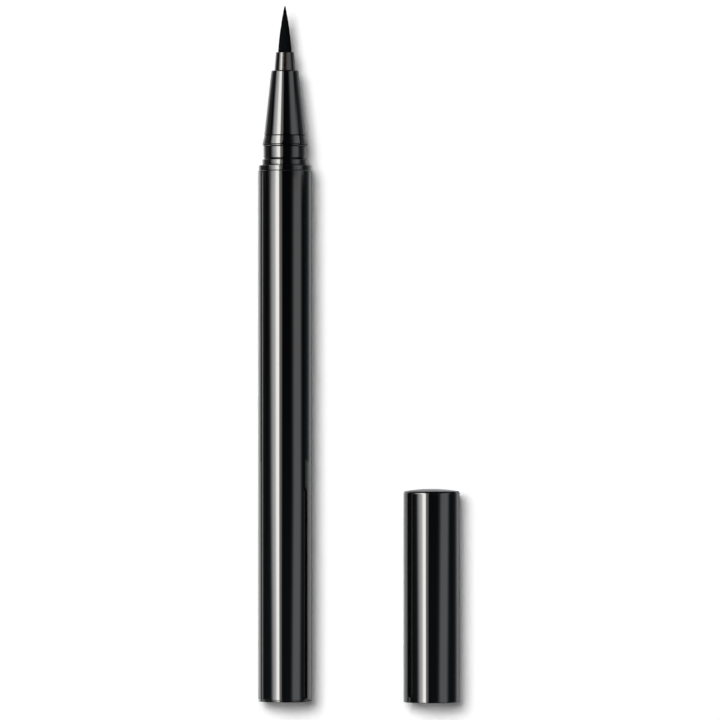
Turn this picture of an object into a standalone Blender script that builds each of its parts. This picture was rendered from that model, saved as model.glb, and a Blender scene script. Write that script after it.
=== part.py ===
"""A liquid eyeliner pen lying on a table, with its cap pulled off and laid beside it.

The pen lies along Y with its nib towards +Y, and the cap lies on its +X side with its mouth level
with the pen's rear end. Z is up, and the table is at zero. A station is a distance along the pen from
its rear end, or along the cap from its mouth. Every turned piece is a profile of (station, radius)
points, spun about its axis.
"""

import math

import bmesh
import bpy
from mathutils import Vector

MM = 0.001

# Clearances
FIT = 0.05 * MM  # radial, between pieces that are pressed together
SEAM = 0.1 * MM  # along the axis, at a parting line
RUNNING_FIT = 0.05 * MM  # radial, round the inner cap in its guide

# Barrel and tail plug
BARREL_DIAMETER = 10.0 * MM
BARREL_LENGTH = 97.65 * MM
BARREL_WALL = 0.7 * MM
BARREL_FRONT_ROUNDING = 0.2 * MM
BARREL_BORE_CHAMFER = 0.25 * MM
TAIL_CROWN = 0.2 * MM
TAIL_RIM = 0.25 * MM
TAIL_EDGE_ROUNDING = 0.12 * MM
TAIL_INSET = 0.04 * MM
TAIL_SPIGOT_LENGTH = 5.0 * MM
TAIL_SPIGOT_WALL = 0.9 * MM
TAIL_SPIGOT_CHAMFER = 0.3 * MM
TAIL_FLOOR = 1.2 * MM

# Grip section, from the barrel to the nose cone
GRIP_SPIGOT_LENGTH = 8.0 * MM
GRIP_SPIGOT_CHAMFER = 0.3 * MM
FLANGE_DIAMETER = 9.7 * MM
FLANGE_LENGTH = 0.9 * MM
FLANGE_ROUNDING = 0.22 * MM
BEAD_DIAMETER = 8.35 * MM
BEAD_LENGTH = 0.49 * MM
BEAD_ROUNDING = 0.1 * MM
BEAD_COUNT = 2
BEAD_GROOVE = 0.08 * MM
RING_CHAMFER = 0.3 * MM
COLLAR_DIAMETER = 8.06 * MM
COLLAR_GROOVE = 0.1 * MM
NECK_DIAMETER = 7.94 * MM
NECK_LENGTH = 2.25 * MM
NECK_WALL = 0.9 * MM
LIP_DIAMETER = 8.34 * MM
LIP_EDGE = 0.1 * MM
FLARE_LENGTH = 1.9 * MM
FLARE_HOLLOW = 0.05 * MM

# Nose cone
NOSE_LENGTH = 11.7 * MM
NOSE_FRONT_DIAMETER = 5.0 * MM
NOSE_BACK_DIAMETER = 7.68 * MM
NOSE_LAND = 1.2 * MM
NOSE_LAND_DROP = 0.05 * MM
NOSE_BULGE = 0.045 * MM
NOSE_ROUNDING = 0.28 * MM
NOSE_SPIGOT_LENGTH = 4.5 * MM
NOSE_SPIGOT_CHAMFER = 0.25 * MM
NOSE_SPIGOT_WALL = 0.8 * MM
NOSE_SHOULDER = 0.8 * MM

# Nib and its holder
NIB_DIAMETER = 2.44 * MM
NIB_POINT_LENGTH = 8.45 * MM
NIB_SHANK_LENGTH = 8.0 * MM
NIB_TIP_DIAMETER = 0.12 * MM
NIB_POINT_POWER = 1.5
HOLDER_LENGTH = 3.3 * MM
HOLDER_FRONT_DIAMETER = 3.18 * MM
HOLDER_BACK_DIAMETER = 3.92 * MM
HOLDER_ROUNDING = 0.12 * MM
HOLDER_SPIGOT_LENGTH = 6.2 * MM
HOLDER_SPIGOT_WALL = 0.38 * MM

# Ink tank and stirring ball
TANK_WALL = 0.6 * MM
TANK_FLOOR = 0.8 * MM
TANK_MOUTH_CHAMFER = 0.2 * MM
BALL_DIAMETER = 3.6 * MM
BALL_CLEARANCE = 0.3 * MM
BALL_SEAT = 0.05 * MM

# Collector and relay wick
WICK_DIAMETER = 1.6 * MM
WICK_REACH = 2.0 * MM  # past the collector into the tank, and into the nib
COLLECTOR_CORE_WALL = 0.75 * MM
COLLECTOR_SPOUT_LENGTH = 3.0 * MM
SEAL_LENGTH = 2.6 * MM
SEAL_BEAD_LENGTH = 0.7 * MM
SEAL_RELIEF = 0.25 * MM
FIN_COUNT = 17
FIN_THICKNESS = 0.45 * MM
FIN_GAP = 0.65 * MM
FIN_CLEARANCE = 0.15 * MM
FIN_FIELD_TO_GRIP = 1.2 * MM
GUIDE_LENGTH = 3.0 * MM
GUIDE_CHAMFER = 0.25 * MM
CAPILLARY_SLIT = 0.25 * MM
AIR_SLOT_WIDTH = 1.2 * MM
AIR_SLOT_DEPTH = 0.9 * MM

# Cap
CAP_DIAMETER = 10.4 * MM
CAP_WALL = 0.45 * MM
CAP_CROWN = 0.36 * MM
CAP_END_WALL = 1.0 * MM
CAP_EDGE_ROUNDING = 0.16 * MM
CAP_MOUTH_ROUNDING = 0.1 * MM
SKIRT_OVERLAP = 0.05 * MM  # how far the skirt reaches past the flange
SPRING_BOSS_HEIGHT = 1.0 * MM
LINER_WALL = 0.4 * MM
LINER_CHAMFER = 0.2 * MM
RIDGE_LENGTH = 0.9 * MM
RIDGE_BITE = 0.1 * MM  # how far the ridge stands in from the lip's edge
RIDGE_RAMP = 0.35 * MM
GUIDE_RING_LAND = 1.6 * MM  # what still guides the inner cap when it is pressed right in
GUIDE_RING_RAMP = 0.8 * MM
CONE_CLEARANCE = 0.2 * MM

# Inner cap and its spring
SEAL_STATION = 6.0 * MM  # along the nose cone, where the inner cap's rim seats on it
INNER_CAP_TRAVEL = 1.8 * MM
INNER_CAP_PRESS = 1.1 * MM
INNER_CAP_LIP_WALL = 0.3 * MM
INNER_CAP_FLOOR = 0.8 * MM
INNER_CAP_FLANGE = 1.0 * MM
INNER_CAP_SHOULDER = 0.8 * MM
INNER_CAP_ROUNDING = 0.5 * MM
NIB_CHAMBER_CLEARANCE = 0.35 * MM
NIB_TIP_CLEARANCE = 1.0 * MM
INNER_BOSS_HEIGHT = 0.8 * MM
SPRING_DIAMETER = 5.6 * MM
SPRING_LENGTH = 5.79 * MM  # as it sits between the inner cap and the cap's end
SPRING_WIRE = 0.4 * MM
SPRING_TURNS = 5
SPRING_SEAT = 0.1 * MM
SPRING_BOSS_CLEARANCE = 0.25 * MM

# How the pen and its cap lie on the table
AXIS_TO_AXIS = 27.1 * MM

# How finely round shapes are cut
BODY_SIDES = 40
CORE_SIDES = 20
WICK_SIDES = 16
BALL_RINGS = 10
FILLET_STEPS = 2
CURVE_STEPS = 5
NIB_STEPS = 8
CROWN_STEPS = 4
CROWN_FLAT_SHARE = 0.35
SPRING_POINTS_PER_TURN = 10
WELD = 0.001 * MM
OVERRUN = 1.0 * MM
SHARP_ANGLE = math.radians(35)

# Radii that follow from these sizes
BARREL_RADIUS = BARREL_DIAMETER / 2
BORE_RADIUS = BARREL_RADIUS - BARREL_WALL
TANK_INNER_RADIUS = BORE_RADIUS - FIT - TANK_WALL
GRIP_BORE_RADIUS = NECK_DIAMETER / 2 - NECK_WALL
NIB_RADIUS = NIB_DIAMETER / 2
HOLDER_BORE_RADIUS = NIB_RADIUS + FIT
HOLDER_SPIGOT_RADIUS = HOLDER_BORE_RADIUS + HOLDER_SPIGOT_WALL
WICK_RADIUS = WICK_DIAMETER / 2
CORE_RADIUS = WICK_RADIUS + FIT + COLLECTOR_CORE_WALL
CAP_RADIUS = CAP_DIAMETER / 2
CAP_BORE_RADIUS = CAP_RADIUS - CAP_WALL
LINER_INNER_RADIUS = CAP_BORE_RADIUS - FIT - LINER_WALL

# Stations along the pen
TAIL_RIM_START = TAIL_CROWN
BARREL_START = TAIL_CROWN + TAIL_RIM + SEAM
BARREL_END = BARREL_START + BARREL_LENGTH
TANK_START = BARREL_START + TAIL_SPIGOT_LENGTH + SEAM
GRIP_START = BARREL_END - GRIP_SPIGOT_LENGTH
TANK_END = GRIP_START - SEAM
FLANGE_START = BARREL_END + SEAM
FLANGE_END = FLANGE_START + FLANGE_LENGTH
BEADS_END = FLANGE_END + BEAD_COUNT * BEAD_LENGTH + (BEAD_COUNT - 1) * BEAD_GROOVE
COLLAR_END = BEADS_END + RING_CHAMFER
NECK_START = COLLAR_END + COLLAR_GROOVE
NECK_END = NECK_START + NECK_LENGTH
GRIP_END = NECK_END + LIP_EDGE + FLARE_LENGTH
NOSE_START = GRIP_END + SEAM
NOSE_END = NOSE_START + NOSE_LENGTH
HOLDER_START = NOSE_END + SEAM
HOLDER_END = HOLDER_START + HOLDER_LENGTH
PEN_LENGTH = HOLDER_END + NIB_POINT_LENGTH
HOLDER_SPIGOT_START = HOLDER_START - HOLDER_SPIGOT_LENGTH
NIB_START = HOLDER_END - NIB_SHANK_LENGTH

# Stations of the collector, which fills the way from the tank to the nib
COLLECTOR_END = HOLDER_SPIGOT_START - SEAM
GUIDE_START = GRIP_START + SEAM
FIN_PITCH = FIN_THICKNESS + FIN_GAP
FIELD_END = GRIP_START - FIN_FIELD_TO_GRIP
FIELD_START = FIELD_END - FIN_COUNT * FIN_PITCH
SEAL_START = FIELD_START - SEAL_LENGTH
COLLECTOR_START = SEAL_START - COLLECTOR_SPOUT_LENGTH
WICK_START = COLLECTOR_START - WICK_REACH

# Stations along the cap, whose skirt closes over the flange until the liner meets the flange's front.
# The cap is as long as the pen's front, the inner cap over it and the spring behind that ask for.
SKIRT_DEPTH = FLANGE_LENGTH + SKIRT_OVERLAP
CAP_CLOSED = FLANGE_END - SKIRT_DEPTH
LINER_START = SKIRT_DEPTH
RIDGE_END = NECK_END - CAP_CLOSED - SEAM
INNER_CAP_START = NOSE_START + SEAL_STATION - CAP_CLOSED - INNER_CAP_PRESS
GUIDE_RING_START = INNER_CAP_START - GUIDE_RING_RAMP
GUIDE_RING_END = INNER_CAP_START + INNER_CAP_TRAVEL + GUIDE_RING_LAND
INNER_CAP_CAVITY_END = PEN_LENGTH - CAP_CLOSED + NIB_TIP_CLEARANCE
INNER_CAP_END = INNER_CAP_CAVITY_END + INNER_CAP_FLOOR
SPRING_START = INNER_CAP_END + SPRING_SEAT
SPRING_END = SPRING_START + SPRING_LENGTH
CAP_INNER_END = SPRING_END + SPRING_SEAT
LINER_END = CAP_INNER_END - SEAM
CAP_LENGTH = CAP_INNER_END + CAP_END_WALL

ORIGIN = (0, 0, 0)
LONG_AXIS = (0, 1, 0)

LACQUER = ((0.012, 0.012, 0.013), 0.12, 0.0)
DARK_METAL = ((0.030, 0.027, 0.025), 0.18, 0.0)
FIBRE = ((0.006, 0.006, 0.006), 0.85, 0.0)
WHITE_PLASTIC = ((0.72, 0.72, 0.70), 0.45, 0.0)
CLEAR_PLASTIC = ((0.55, 0.58, 0.60), 0.30, 0.0)
GREY_FIBRE = ((0.35, 0.35, 0.34), 0.90, 0.0)
STEEL = ((0.58, 0.58, 0.60), 0.20, 1.0)


def clear_scene():
    """Removes what the file opened with."""
    for thing in list(bpy.data.objects):
        bpy.data.objects.remove(thing)


def carrier(name, place, parent=None):
    """An empty that carries a group of pieces, placed on their common axis."""
    empty = bpy.data.objects.new(name, None)
    empty.empty_display_size = BARREL_DIAMETER
    empty.location = place
    empty.parent = parent
    bpy.context.scene.collection.objects.link(empty)
    return empty


def give_finish(piece, finish):
    """Gives a piece a material of its own."""
    colour, roughness, metallic = finish
    material = bpy.data.materials.new(piece.name + "_finish")
    material.use_nodes = True
    shader = material.node_tree.nodes["Principled BSDF"]
    shader.inputs["Base Color"].default_value = (*colour, 1)
    shader.inputs["Roughness"].default_value = roughness
    shader.inputs["Metallic"].default_value = metallic
    piece.data.materials.append(material)


def add_piece(name, shape, parent, finish):
    """Makes a named object of a bmesh, shaded smooth with its real edges sharp."""
    bmesh.ops.recalc_face_normals(shape, faces=shape.faces)
    mesh = bpy.data.meshes.new(name)
    shape.to_mesh(mesh)
    shape.free()
    mesh.shade_smooth()
    mesh.set_sharp_from_angle(angle=SHARP_ANGLE)
    piece = bpy.data.objects.new(name, mesh)
    piece.parent = parent
    bpy.context.scene.collection.objects.link(piece)
    give_finish(piece, finish)
    return piece


def fillet(before, corner, after, radius):
    """The arc that rounds a corner of a profile, no longer than its two sides allow."""
    before, corner, after = Vector(before), Vector(corner), Vector(after)
    back, on = (before - corner).normalized(), (after - corner).normalized()
    half = back.angle(on) / 2
    reach = min(radius / math.tan(half), (before - corner).length / 2, (after - corner).length / 2)
    centre = corner + (back + on).normalized() * reach / math.cos(half)
    first, last = corner + back * reach - centre, corner + on * reach - centre
    steps = [step / FILLET_STEPS for step in range(FILLET_STEPS + 1)]
    arms = [(first.lerp(last, share)).normalized() * first.length for share in steps]
    return [tuple(centre + arm) for arm in arms]


def rounded(corners):
    """A closed profile from its corners, each (station, radius) or (station, radius, fillet)."""
    points = []
    for index, corner in enumerate(corners):
        place = corner[:2]
        if len(corner) == 2:
            points.append(place)
            continue
        before, after = corners[index - 1][:2], corners[(index + 1) % len(corners)][:2]
        points.extend(fillet(before, place, after, corner[2]))
    return points


def crown(centre, rim, rim_radius):
    """A crowned end, from its flat centre on the axis out to its rim, rim being that edge's station."""
    rise = 1 - CROWN_FLAT_SHARE**2
    points = [(centre, 0.0)]
    for step in range(CROWN_STEPS + 1):
        share = CROWN_FLAT_SHARE + (1 - CROWN_FLAT_SHARE) * step / CROWN_STEPS
        drop = (share**2 - CROWN_FLAT_SHARE**2) / rise
        points.append((centre + (rim - centre) * drop, rim_radius * share))
    return points


def turned(name, profile, sides, parent, finish):
    """Spins a profile about the parent's Y axis, with a flat side facing straight down.

    A profile that starts and ends on the axis gives a solid, and any other is a closed loop and gives a
    ring.
    """
    shape = bmesh.new()
    half = math.pi / sides
    points = [shape.verts.new((r * math.sin(half), s, -r * math.cos(half))) for s, r in profile]
    edges = [shape.edges.new(pair) for pair in zip(points, points[1:])]
    if profile[0][1] > 0:
        edges.append(shape.edges.new((points[-1], points[0])))
    outline = points + edges
    full_turn = {"cent": ORIGIN, "axis": LONG_AXIS, "angle": math.tau, "steps": sides}
    bmesh.ops.spin(shape, geom=outline, use_merge=True, **full_turn)
    bmesh.ops.remove_doubles(shape, verts=shape.verts, dist=WELD)
    return add_piece(name, shape, parent, finish)


def cutter(name, low, high, parent):
    """A box that cuts a slot and isn't part of the object."""
    shape = bmesh.new()
    bmesh.ops.create_cube(shape, size=1)
    size = [b - a for a, b in zip(low, high)]
    bmesh.ops.scale(shape, vec=size, verts=shape.verts)
    bmesh.ops.translate(shape, vec=[(a + b) / 2 for a, b in zip(low, high)], verts=shape.verts)
    box = add_piece(name, shape, parent, WHITE_PLASTIC)
    box.hide_render = True
    box.display_type = "WIRE"
    return box


def cut(piece, tool):
    """Takes the tool's shape out of the piece."""
    modifier = piece.modifiers.new(tool.name, "BOOLEAN")
    modifier.operation = "DIFFERENCE"
    modifier.object = tool


def nose_radius(along):
    """The nose cone's radius at a distance from its back: a short land, then a slightly bulging taper."""
    if along <= NOSE_LAND:
        return NOSE_BACK_DIAMETER / 2 - NOSE_LAND_DROP * along / NOSE_LAND
    share = (along - NOSE_LAND) / (NOSE_LENGTH - NOSE_LAND)
    land = NOSE_BACK_DIAMETER / 2 - NOSE_LAND_DROP
    straight = land * (1 - share) + NOSE_FRONT_DIAMETER / 2 * share
    return straight + NOSE_BULGE * 4 * share * (1 - share)


def make_barrel(pen):
    chamfer = BARREL_BORE_CHAMFER
    profile = rounded([
        (BARREL_START, BARREL_RADIUS),
        (BARREL_END, BARREL_RADIUS, BARREL_FRONT_ROUNDING),
        (BARREL_END, BORE_RADIUS),
        (BARREL_START + chamfer, BORE_RADIUS),
        (BARREL_START, BORE_RADIUS + chamfer),
    ])
    return turned("barrel", profile, BODY_SIDES, pen, LACQUER)


def make_tail_plug(pen):
    rim_radius = BARREL_RADIUS - TAIL_INSET
    rim_end = BARREL_START - SEAM
    spigot_radius = BORE_RADIUS - FIT
    spigot_end = BARREL_START + TAIL_SPIGOT_LENGTH
    hollow_radius = spigot_radius - TAIL_SPIGOT_WALL
    profile = crown(0.0, TAIL_RIM_START, rim_radius - TAIL_EDGE_ROUNDING)
    profile += [
        (TAIL_RIM_START + TAIL_EDGE_ROUNDING, rim_radius),
        (rim_end, rim_radius),
        (rim_end, spigot_radius),
        (spigot_end - TAIL_SPIGOT_CHAMFER, spigot_radius),
        (spigot_end, spigot_radius - TAIL_SPIGOT_CHAMFER),
        (spigot_end, hollow_radius),
        (TAIL_FLOOR, hollow_radius),
        (TAIL_FLOOR, 0.0),
    ]
    return turned("tail_plug", profile, BODY_SIDES, pen, LACQUER)


def make_grip_section(pen):
    """The front moulding: a spigot in the barrel, the flange that the cap seats on, the beads and neck."""
    spigot_radius = BORE_RADIUS - FIT
    collar = COLLAR_DIAMETER / 2
    neck = NECK_DIAMETER / 2
    lip = LIP_DIAMETER / 2
    bead = BEAD_DIAMETER / 2
    corners = [
        (GRIP_START, GRIP_BORE_RADIUS),
        (GRIP_START, spigot_radius - GRIP_SPIGOT_CHAMFER),
        (GRIP_START + GRIP_SPIGOT_CHAMFER, spigot_radius),
        (FLANGE_START, spigot_radius),
        (FLANGE_START, FLANGE_DIAMETER / 2),
        (FLANGE_END, FLANGE_DIAMETER / 2, FLANGE_ROUNDING),
    ]
    start = FLANGE_END
    for _ in range(BEAD_COUNT):
        end = start + BEAD_LENGTH
        corners += [(start, bead, BEAD_ROUNDING), (end, bead, BEAD_ROUNDING), (end, neck)]
        start = end + BEAD_GROOVE
        corners.append((start, neck))
    # The last bead has the collar's chamfer behind it in place of a groove.
    corners[-2:] = [
        (BEADS_END, collar + COLLAR_GROOVE),
        (COLLAR_END, collar),
        (COLLAR_END, neck - COLLAR_GROOVE),
        (NECK_START, neck - COLLAR_GROOVE),
        (NECK_START, neck),
        (NECK_END, neck),
        (NECK_END, lip),
        (NECK_END + LIP_EDGE, lip),
    ]
    back = NOSE_BACK_DIAMETER / 2
    for step in range(1, CURVE_STEPS + 1):
        share = step / CURVE_STEPS
        hollow = FLARE_HOLLOW * 4 * share * (1 - share)
        corners.append((NECK_END + LIP_EDGE + FLARE_LENGTH * share, lip + (back - lip) * share - hollow))
    corners.append((GRIP_END, GRIP_BORE_RADIUS))
    return turned("grip_section", rounded(corners), BODY_SIDES, pen, LACQUER)


def make_nose_cone(pen):
    spigot_radius = GRIP_BORE_RADIUS - FIT
    spigot_start = NOSE_START - NOSE_SPIGOT_LENGTH
    wide_bore = spigot_radius - NOSE_SPIGOT_WALL
    narrow_bore = HOLDER_SPIGOT_RADIUS + FIT
    step_end = HOLDER_SPIGOT_START - SEAM
    corners = [
        (spigot_start, wide_bore),
        (spigot_start, spigot_radius - NOSE_SPIGOT_CHAMFER),
        (spigot_start + NOSE_SPIGOT_CHAMFER, spigot_radius),
        (NOSE_START, spigot_radius),
    ]
    corners.append((NOSE_START, nose_radius(0)))
    for step in range(CURVE_STEPS):
        along = NOSE_LAND + (NOSE_LENGTH - NOSE_LAND) * step / CURVE_STEPS
        corners.append((NOSE_START + along, nose_radius(along)))
    corners += [
        (NOSE_END, NOSE_FRONT_DIAMETER / 2, NOSE_ROUNDING),
        (NOSE_END, narrow_bore),
        (step_end, narrow_bore),
        (step_end - NOSE_SHOULDER, wide_bore),
    ]
    return turned("nose_cone", rounded(corners), BODY_SIDES, pen, LACQUER)


def make_nib_holder(pen):
    corners = [
        (HOLDER_SPIGOT_START, HOLDER_BORE_RADIUS),
        (HOLDER_SPIGOT_START, HOLDER_SPIGOT_RADIUS),
        (HOLDER_START, HOLDER_SPIGOT_RADIUS),
        (HOLDER_START, HOLDER_BACK_DIAMETER / 2),
        (HOLDER_END, HOLDER_FRONT_DIAMETER / 2, HOLDER_ROUNDING),
        (HOLDER_END, HOLDER_BORE_RADIUS),
    ]
    return turned("nib_holder", rounded(corners), CORE_SIDES, pen, DARK_METAL)


def make_nib(pen):
    """The rod of pressed fibre, ground to a long round point, with a socket for the wick in its tail."""
    socket = WICK_RADIUS + FIT
    profile = [
        (NIB_START + WICK_REACH, 0.0),
        (NIB_START + WICK_REACH, socket),
        (NIB_START, socket),
        (NIB_START, NIB_RADIUS),
    ]
    tip_radius = NIB_TIP_DIAMETER / 2
    for step in range(NIB_STEPS + 1):
        share = (1 - step / NIB_STEPS) ** 2
        width = tip_radius + (NIB_RADIUS - tip_radius) * (1 - (1 - share) ** NIB_POINT_POWER)
        profile.append((PEN_LENGTH - NIB_POINT_LENGTH * share, width))
    profile.append((PEN_LENGTH, 0.0))
    return turned("nib", profile, CORE_SIDES, pen, FIBRE)


def make_ink_tank(pen):
    outer = BORE_RADIUS - FIT
    inner_floor = TANK_START + TANK_FLOOR
    profile = [
        (TANK_START, 0.0),
        (TANK_START, outer),
        (TANK_END, outer),
        (TANK_END, TANK_INNER_RADIUS + TANK_MOUTH_CHAMFER),
        (TANK_END - TANK_MOUTH_CHAMFER, TANK_INNER_RADIUS),
        (inner_floor, TANK_INNER_RADIUS),
        (inner_floor, 0.0),
    ]
    return turned("ink_tank", profile, BODY_SIDES, pen, CLEAR_PLASTIC)


def make_stirring_ball(pen):
    """The loose steel ball, lying on the tank's lower wall at its rear end."""
    radius = BALL_DIAMETER / 2
    shape = bmesh.new()
    bmesh.ops.create_uvsphere(shape, u_segments=WICK_SIDES, v_segments=BALL_RINGS, radius=radius)
    ball = add_piece("stirring_ball", shape, pen, STEEL)
    lower_wall = TANK_INNER_RADIUS * math.cos(math.pi / BODY_SIDES)
    floor = TANK_START + TANK_FLOOR
    ball.location = (0, floor + BALL_CLEARANCE + radius, BALL_SEAT + radius - lower_wall)
    return ball


def make_collector(pen):
    """The finned moulding between tank and nib: sealing head, field of fins, and a tube to the nib."""
    bore = WICK_RADIUS + FIT
    seal = TANK_INNER_RADIUS - FIT
    fin = TANK_INNER_RADIUS - FIN_CLEARANCE
    guide = GRIP_BORE_RADIUS - FIT
    guide_end = GUIDE_START + GUIDE_LENGTH
    profile = [
        (COLLECTOR_START, bore),
        (COLLECTOR_START, CORE_RADIUS),
        (SEAL_START, CORE_RADIUS),
        (SEAL_START, seal),
        (SEAL_START + SEAL_BEAD_LENGTH, seal),
        (SEAL_START + SEAL_BEAD_LENGTH, seal - SEAL_RELIEF),
        (FIELD_START - SEAL_BEAD_LENGTH, seal - SEAL_RELIEF),
        (FIELD_START - SEAL_BEAD_LENGTH, seal),
        (FIELD_START, seal),
        (FIELD_START, CORE_RADIUS),
    ]
    for index in range(FIN_COUNT):
        start = FIELD_START + index * FIN_PITCH + FIN_GAP
        end = start + FIN_THICKNESS
        profile += [(start, CORE_RADIUS), (start, fin), (end, fin), (end, CORE_RADIUS)]
    profile += [
        (GUIDE_START, CORE_RADIUS),
        (GUIDE_START, guide - GUIDE_CHAMFER),
        (GUIDE_START + GUIDE_CHAMFER, guide),
        (guide_end, guide),
        (guide_end, CORE_RADIUS),
        (COLLECTOR_END, CORE_RADIUS),
        (COLLECTOR_END, bore),
    ]
    piece = turned("collector", profile, CORE_SIDES, pen, WHITE_PLASTIC)
    fins_start, fins_end = FIELD_START + FIN_GAP / 2, FIELD_END + FIN_FIELD_TO_GRIP / 2
    beyond = fin + OVERRUN
    half_slit, half_slot = CAPILLARY_SLIT / 2, AIR_SLOT_WIDTH / 2
    slit_low, slit_high = (-half_slit, fins_start, CORE_RADIUS), (half_slit, fins_end, beyond)
    slot_low, slot_high = (-half_slot, fins_start, -beyond), (half_slot, fins_end, AIR_SLOT_DEPTH - fin)
    cut(piece, cutter("capillary_slit", slit_low, slit_high, pen))
    cut(piece, cutter("air_slot", slot_low, slot_high, pen))
    return piece


def make_relay_wick(pen):
    end = NIB_START + WICK_REACH - SEAM
    profile = [(WICK_START, 0.0), (WICK_START, WICK_RADIUS), (end, WICK_RADIUS), (end, 0.0)]
    return turned("relay_wick", profile, WICK_SIDES, pen, GREY_FIBRE)


def make_cap_shell(cap):
    boss = SPRING_DIAMETER / 2 - SPRING_WIRE - SPRING_BOSS_CLEARANCE
    edge = CAP_EDGE_ROUNDING
    mouth = CAP_MOUTH_ROUNDING
    skirt = FLANGE_DIAMETER / 2 + FIT
    profile = crown(CAP_LENGTH + CAP_CROWN, CAP_LENGTH, CAP_RADIUS - edge)
    profile += [
        (CAP_LENGTH - edge, CAP_RADIUS),
        (mouth, CAP_RADIUS),
        (0.0, CAP_RADIUS - mouth),
        (0.0, skirt),
        (SKIRT_DEPTH, skirt),
        (SKIRT_DEPTH, CAP_BORE_RADIUS),
        (CAP_INNER_END, CAP_BORE_RADIUS),
        (CAP_INNER_END, boss),
        (CAP_INNER_END - SPRING_BOSS_HEIGHT, boss),
        (CAP_INNER_END - SPRING_BOSS_HEIGHT, 0.0),
    ]
    return turned("cap_shell", profile, BODY_SIDES, cap, LACQUER)


def make_cap_liner(cap):
    """The sleeve pressed into the cap, with a click ridge and a ring that guides the inner cap."""
    outer = CAP_BORE_RADIUS - FIT
    ridge = LIP_DIAMETER / 2 - RIDGE_BITE
    guide = inner_cap_radius() + RUNNING_FIT
    profile = [
        (LINER_START, outer),
        (LINER_START, LINER_INNER_RADIUS + LINER_CHAMFER),
        (LINER_START + LINER_CHAMFER, LINER_INNER_RADIUS),
        (RIDGE_END - RIDGE_LENGTH - RIDGE_RAMP, LINER_INNER_RADIUS),
        (RIDGE_END - RIDGE_LENGTH, ridge),
        (RIDGE_END - RIDGE_RAMP, ridge),
        (RIDGE_END, LINER_INNER_RADIUS),
        (GUIDE_RING_START - GUIDE_RING_RAMP, LINER_INNER_RADIUS),
        (GUIDE_RING_START, guide),
        (GUIDE_RING_END, guide),
        (GUIDE_RING_END, chamber_radius()),
        (LINER_END, chamber_radius()),
        (LINER_END, outer),
    ]
    return turned("cap_liner", profile, BODY_SIDES, cap, WHITE_PLASTIC)


def inner_cap_mouth_radius():
    """The inner cap's rim takes the nose cone at the seal station."""
    return nose_radius(SEAL_STATION)


def inner_cap_radius():
    return inner_cap_mouth_radius() + INNER_CAP_LIP_WALL


def chamber_radius():
    """The liner's bore behind the guide ring, where the inner cap's flange and the spring run."""
    return (inner_cap_radius() + CAP_BORE_RADIUS) / 2


def make_inner_cap(slider):
    outer = inner_cap_radius()
    flange = chamber_radius() - RUNNING_FIT
    flange_start = GUIDE_RING_END + SEAM
    flange_end = flange_start + INNER_CAP_FLANGE
    shoulder_start = NOSE_END - CAP_CLOSED + CONE_CLEARANCE
    chamber = HOLDER_BACK_DIAMETER / 2 + NIB_CHAMBER_CLEARANCE
    boss = SPRING_DIAMETER / 2 - SPRING_WIRE - SPRING_BOSS_CLEARANCE
    shoulder_radius = NOSE_FRONT_DIAMETER / 2 + NIB_CHAMBER_CLEARANCE
    boss_end = INNER_CAP_END + INNER_BOSS_HEIGHT
    corners = [
        (INNER_CAP_START, outer),
        (flange_start, outer),
        (flange_start, flange),
        (flange_end, flange),
        (flange_end, outer),
        (INNER_CAP_END, outer, INNER_CAP_ROUNDING),
        (INNER_CAP_END, boss),
        (boss_end, boss),
        (boss_end, 0.0),
        (INNER_CAP_CAVITY_END, 0.0),
        (INNER_CAP_CAVITY_END, chamber, INNER_CAP_ROUNDING),
        (shoulder_start + INNER_CAP_SHOULDER, chamber),
        (shoulder_start, shoulder_radius),
        (INNER_CAP_START, inner_cap_mouth_radius()),
    ]
    profile = rounded(corners)
    start = profile.index((boss_end, 0.0)) + 1
    return turned("inner_cap", profile[start:] + profile[:start], CORE_SIDES, slider, WHITE_PLASTIC)


def spring_route():
    """The wire's middle line: a helix from the inner cap to the cap's end, its ends run straight."""
    radius = (SPRING_DIAMETER - SPRING_WIRE) / 2
    start = SPRING_START + SPRING_WIRE / 2
    end = SPRING_END - SPRING_WIRE / 2
    count = SPRING_TURNS * SPRING_POINTS_PER_TURN
    points = []
    for step in range(count + 1):
        angle = math.tau * step / SPRING_POINTS_PER_TURN
        along = start + (end - start) * step / count
        points.append(Vector((radius * math.sin(angle), along, radius * math.cos(angle))))
    lead_in, lead_out = Vector((-SPRING_WIRE, 0, 0)), Vector((SPRING_WIRE, 0, 0))
    return [points[0] + lead_in, *points, points[-1] + lead_out]


def least_gap(points):
    """The least clear distance between turns of the spring, measured on its points."""
    apart = SPRING_POINTS_PER_TURN // 2
    pairs = ((a, b) for i, a in enumerate(points) for b in points[i + apart :])
    return min((a - b).length for a, b in pairs) - SPRING_WIRE


def make_spring(cap):
    points = spring_route()
    print(f"inner_cap_spring: least gap between turns {least_gap(points) / MM:.2f} mm")
    wire = bpy.data.curves.new("inner_cap_spring", "CURVE")
    wire.dimensions = "3D"
    wire.bevel_depth = SPRING_WIRE / 2
    wire.bevel_resolution = 1
    wire.use_fill_caps = True
    spline = wire.splines.new("POLY")
    spline.points.add(len(points) - 1)
    for target, point in zip(spline.points, points):
        target.co = (*point, 1)
    spline.use_smooth = True
    spring = bpy.data.objects.new("inner_cap_spring", wire)
    spring.parent = cap
    bpy.context.scene.collection.objects.link(spring)
    give_finish(spring, STEEL)
    return spring


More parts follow.
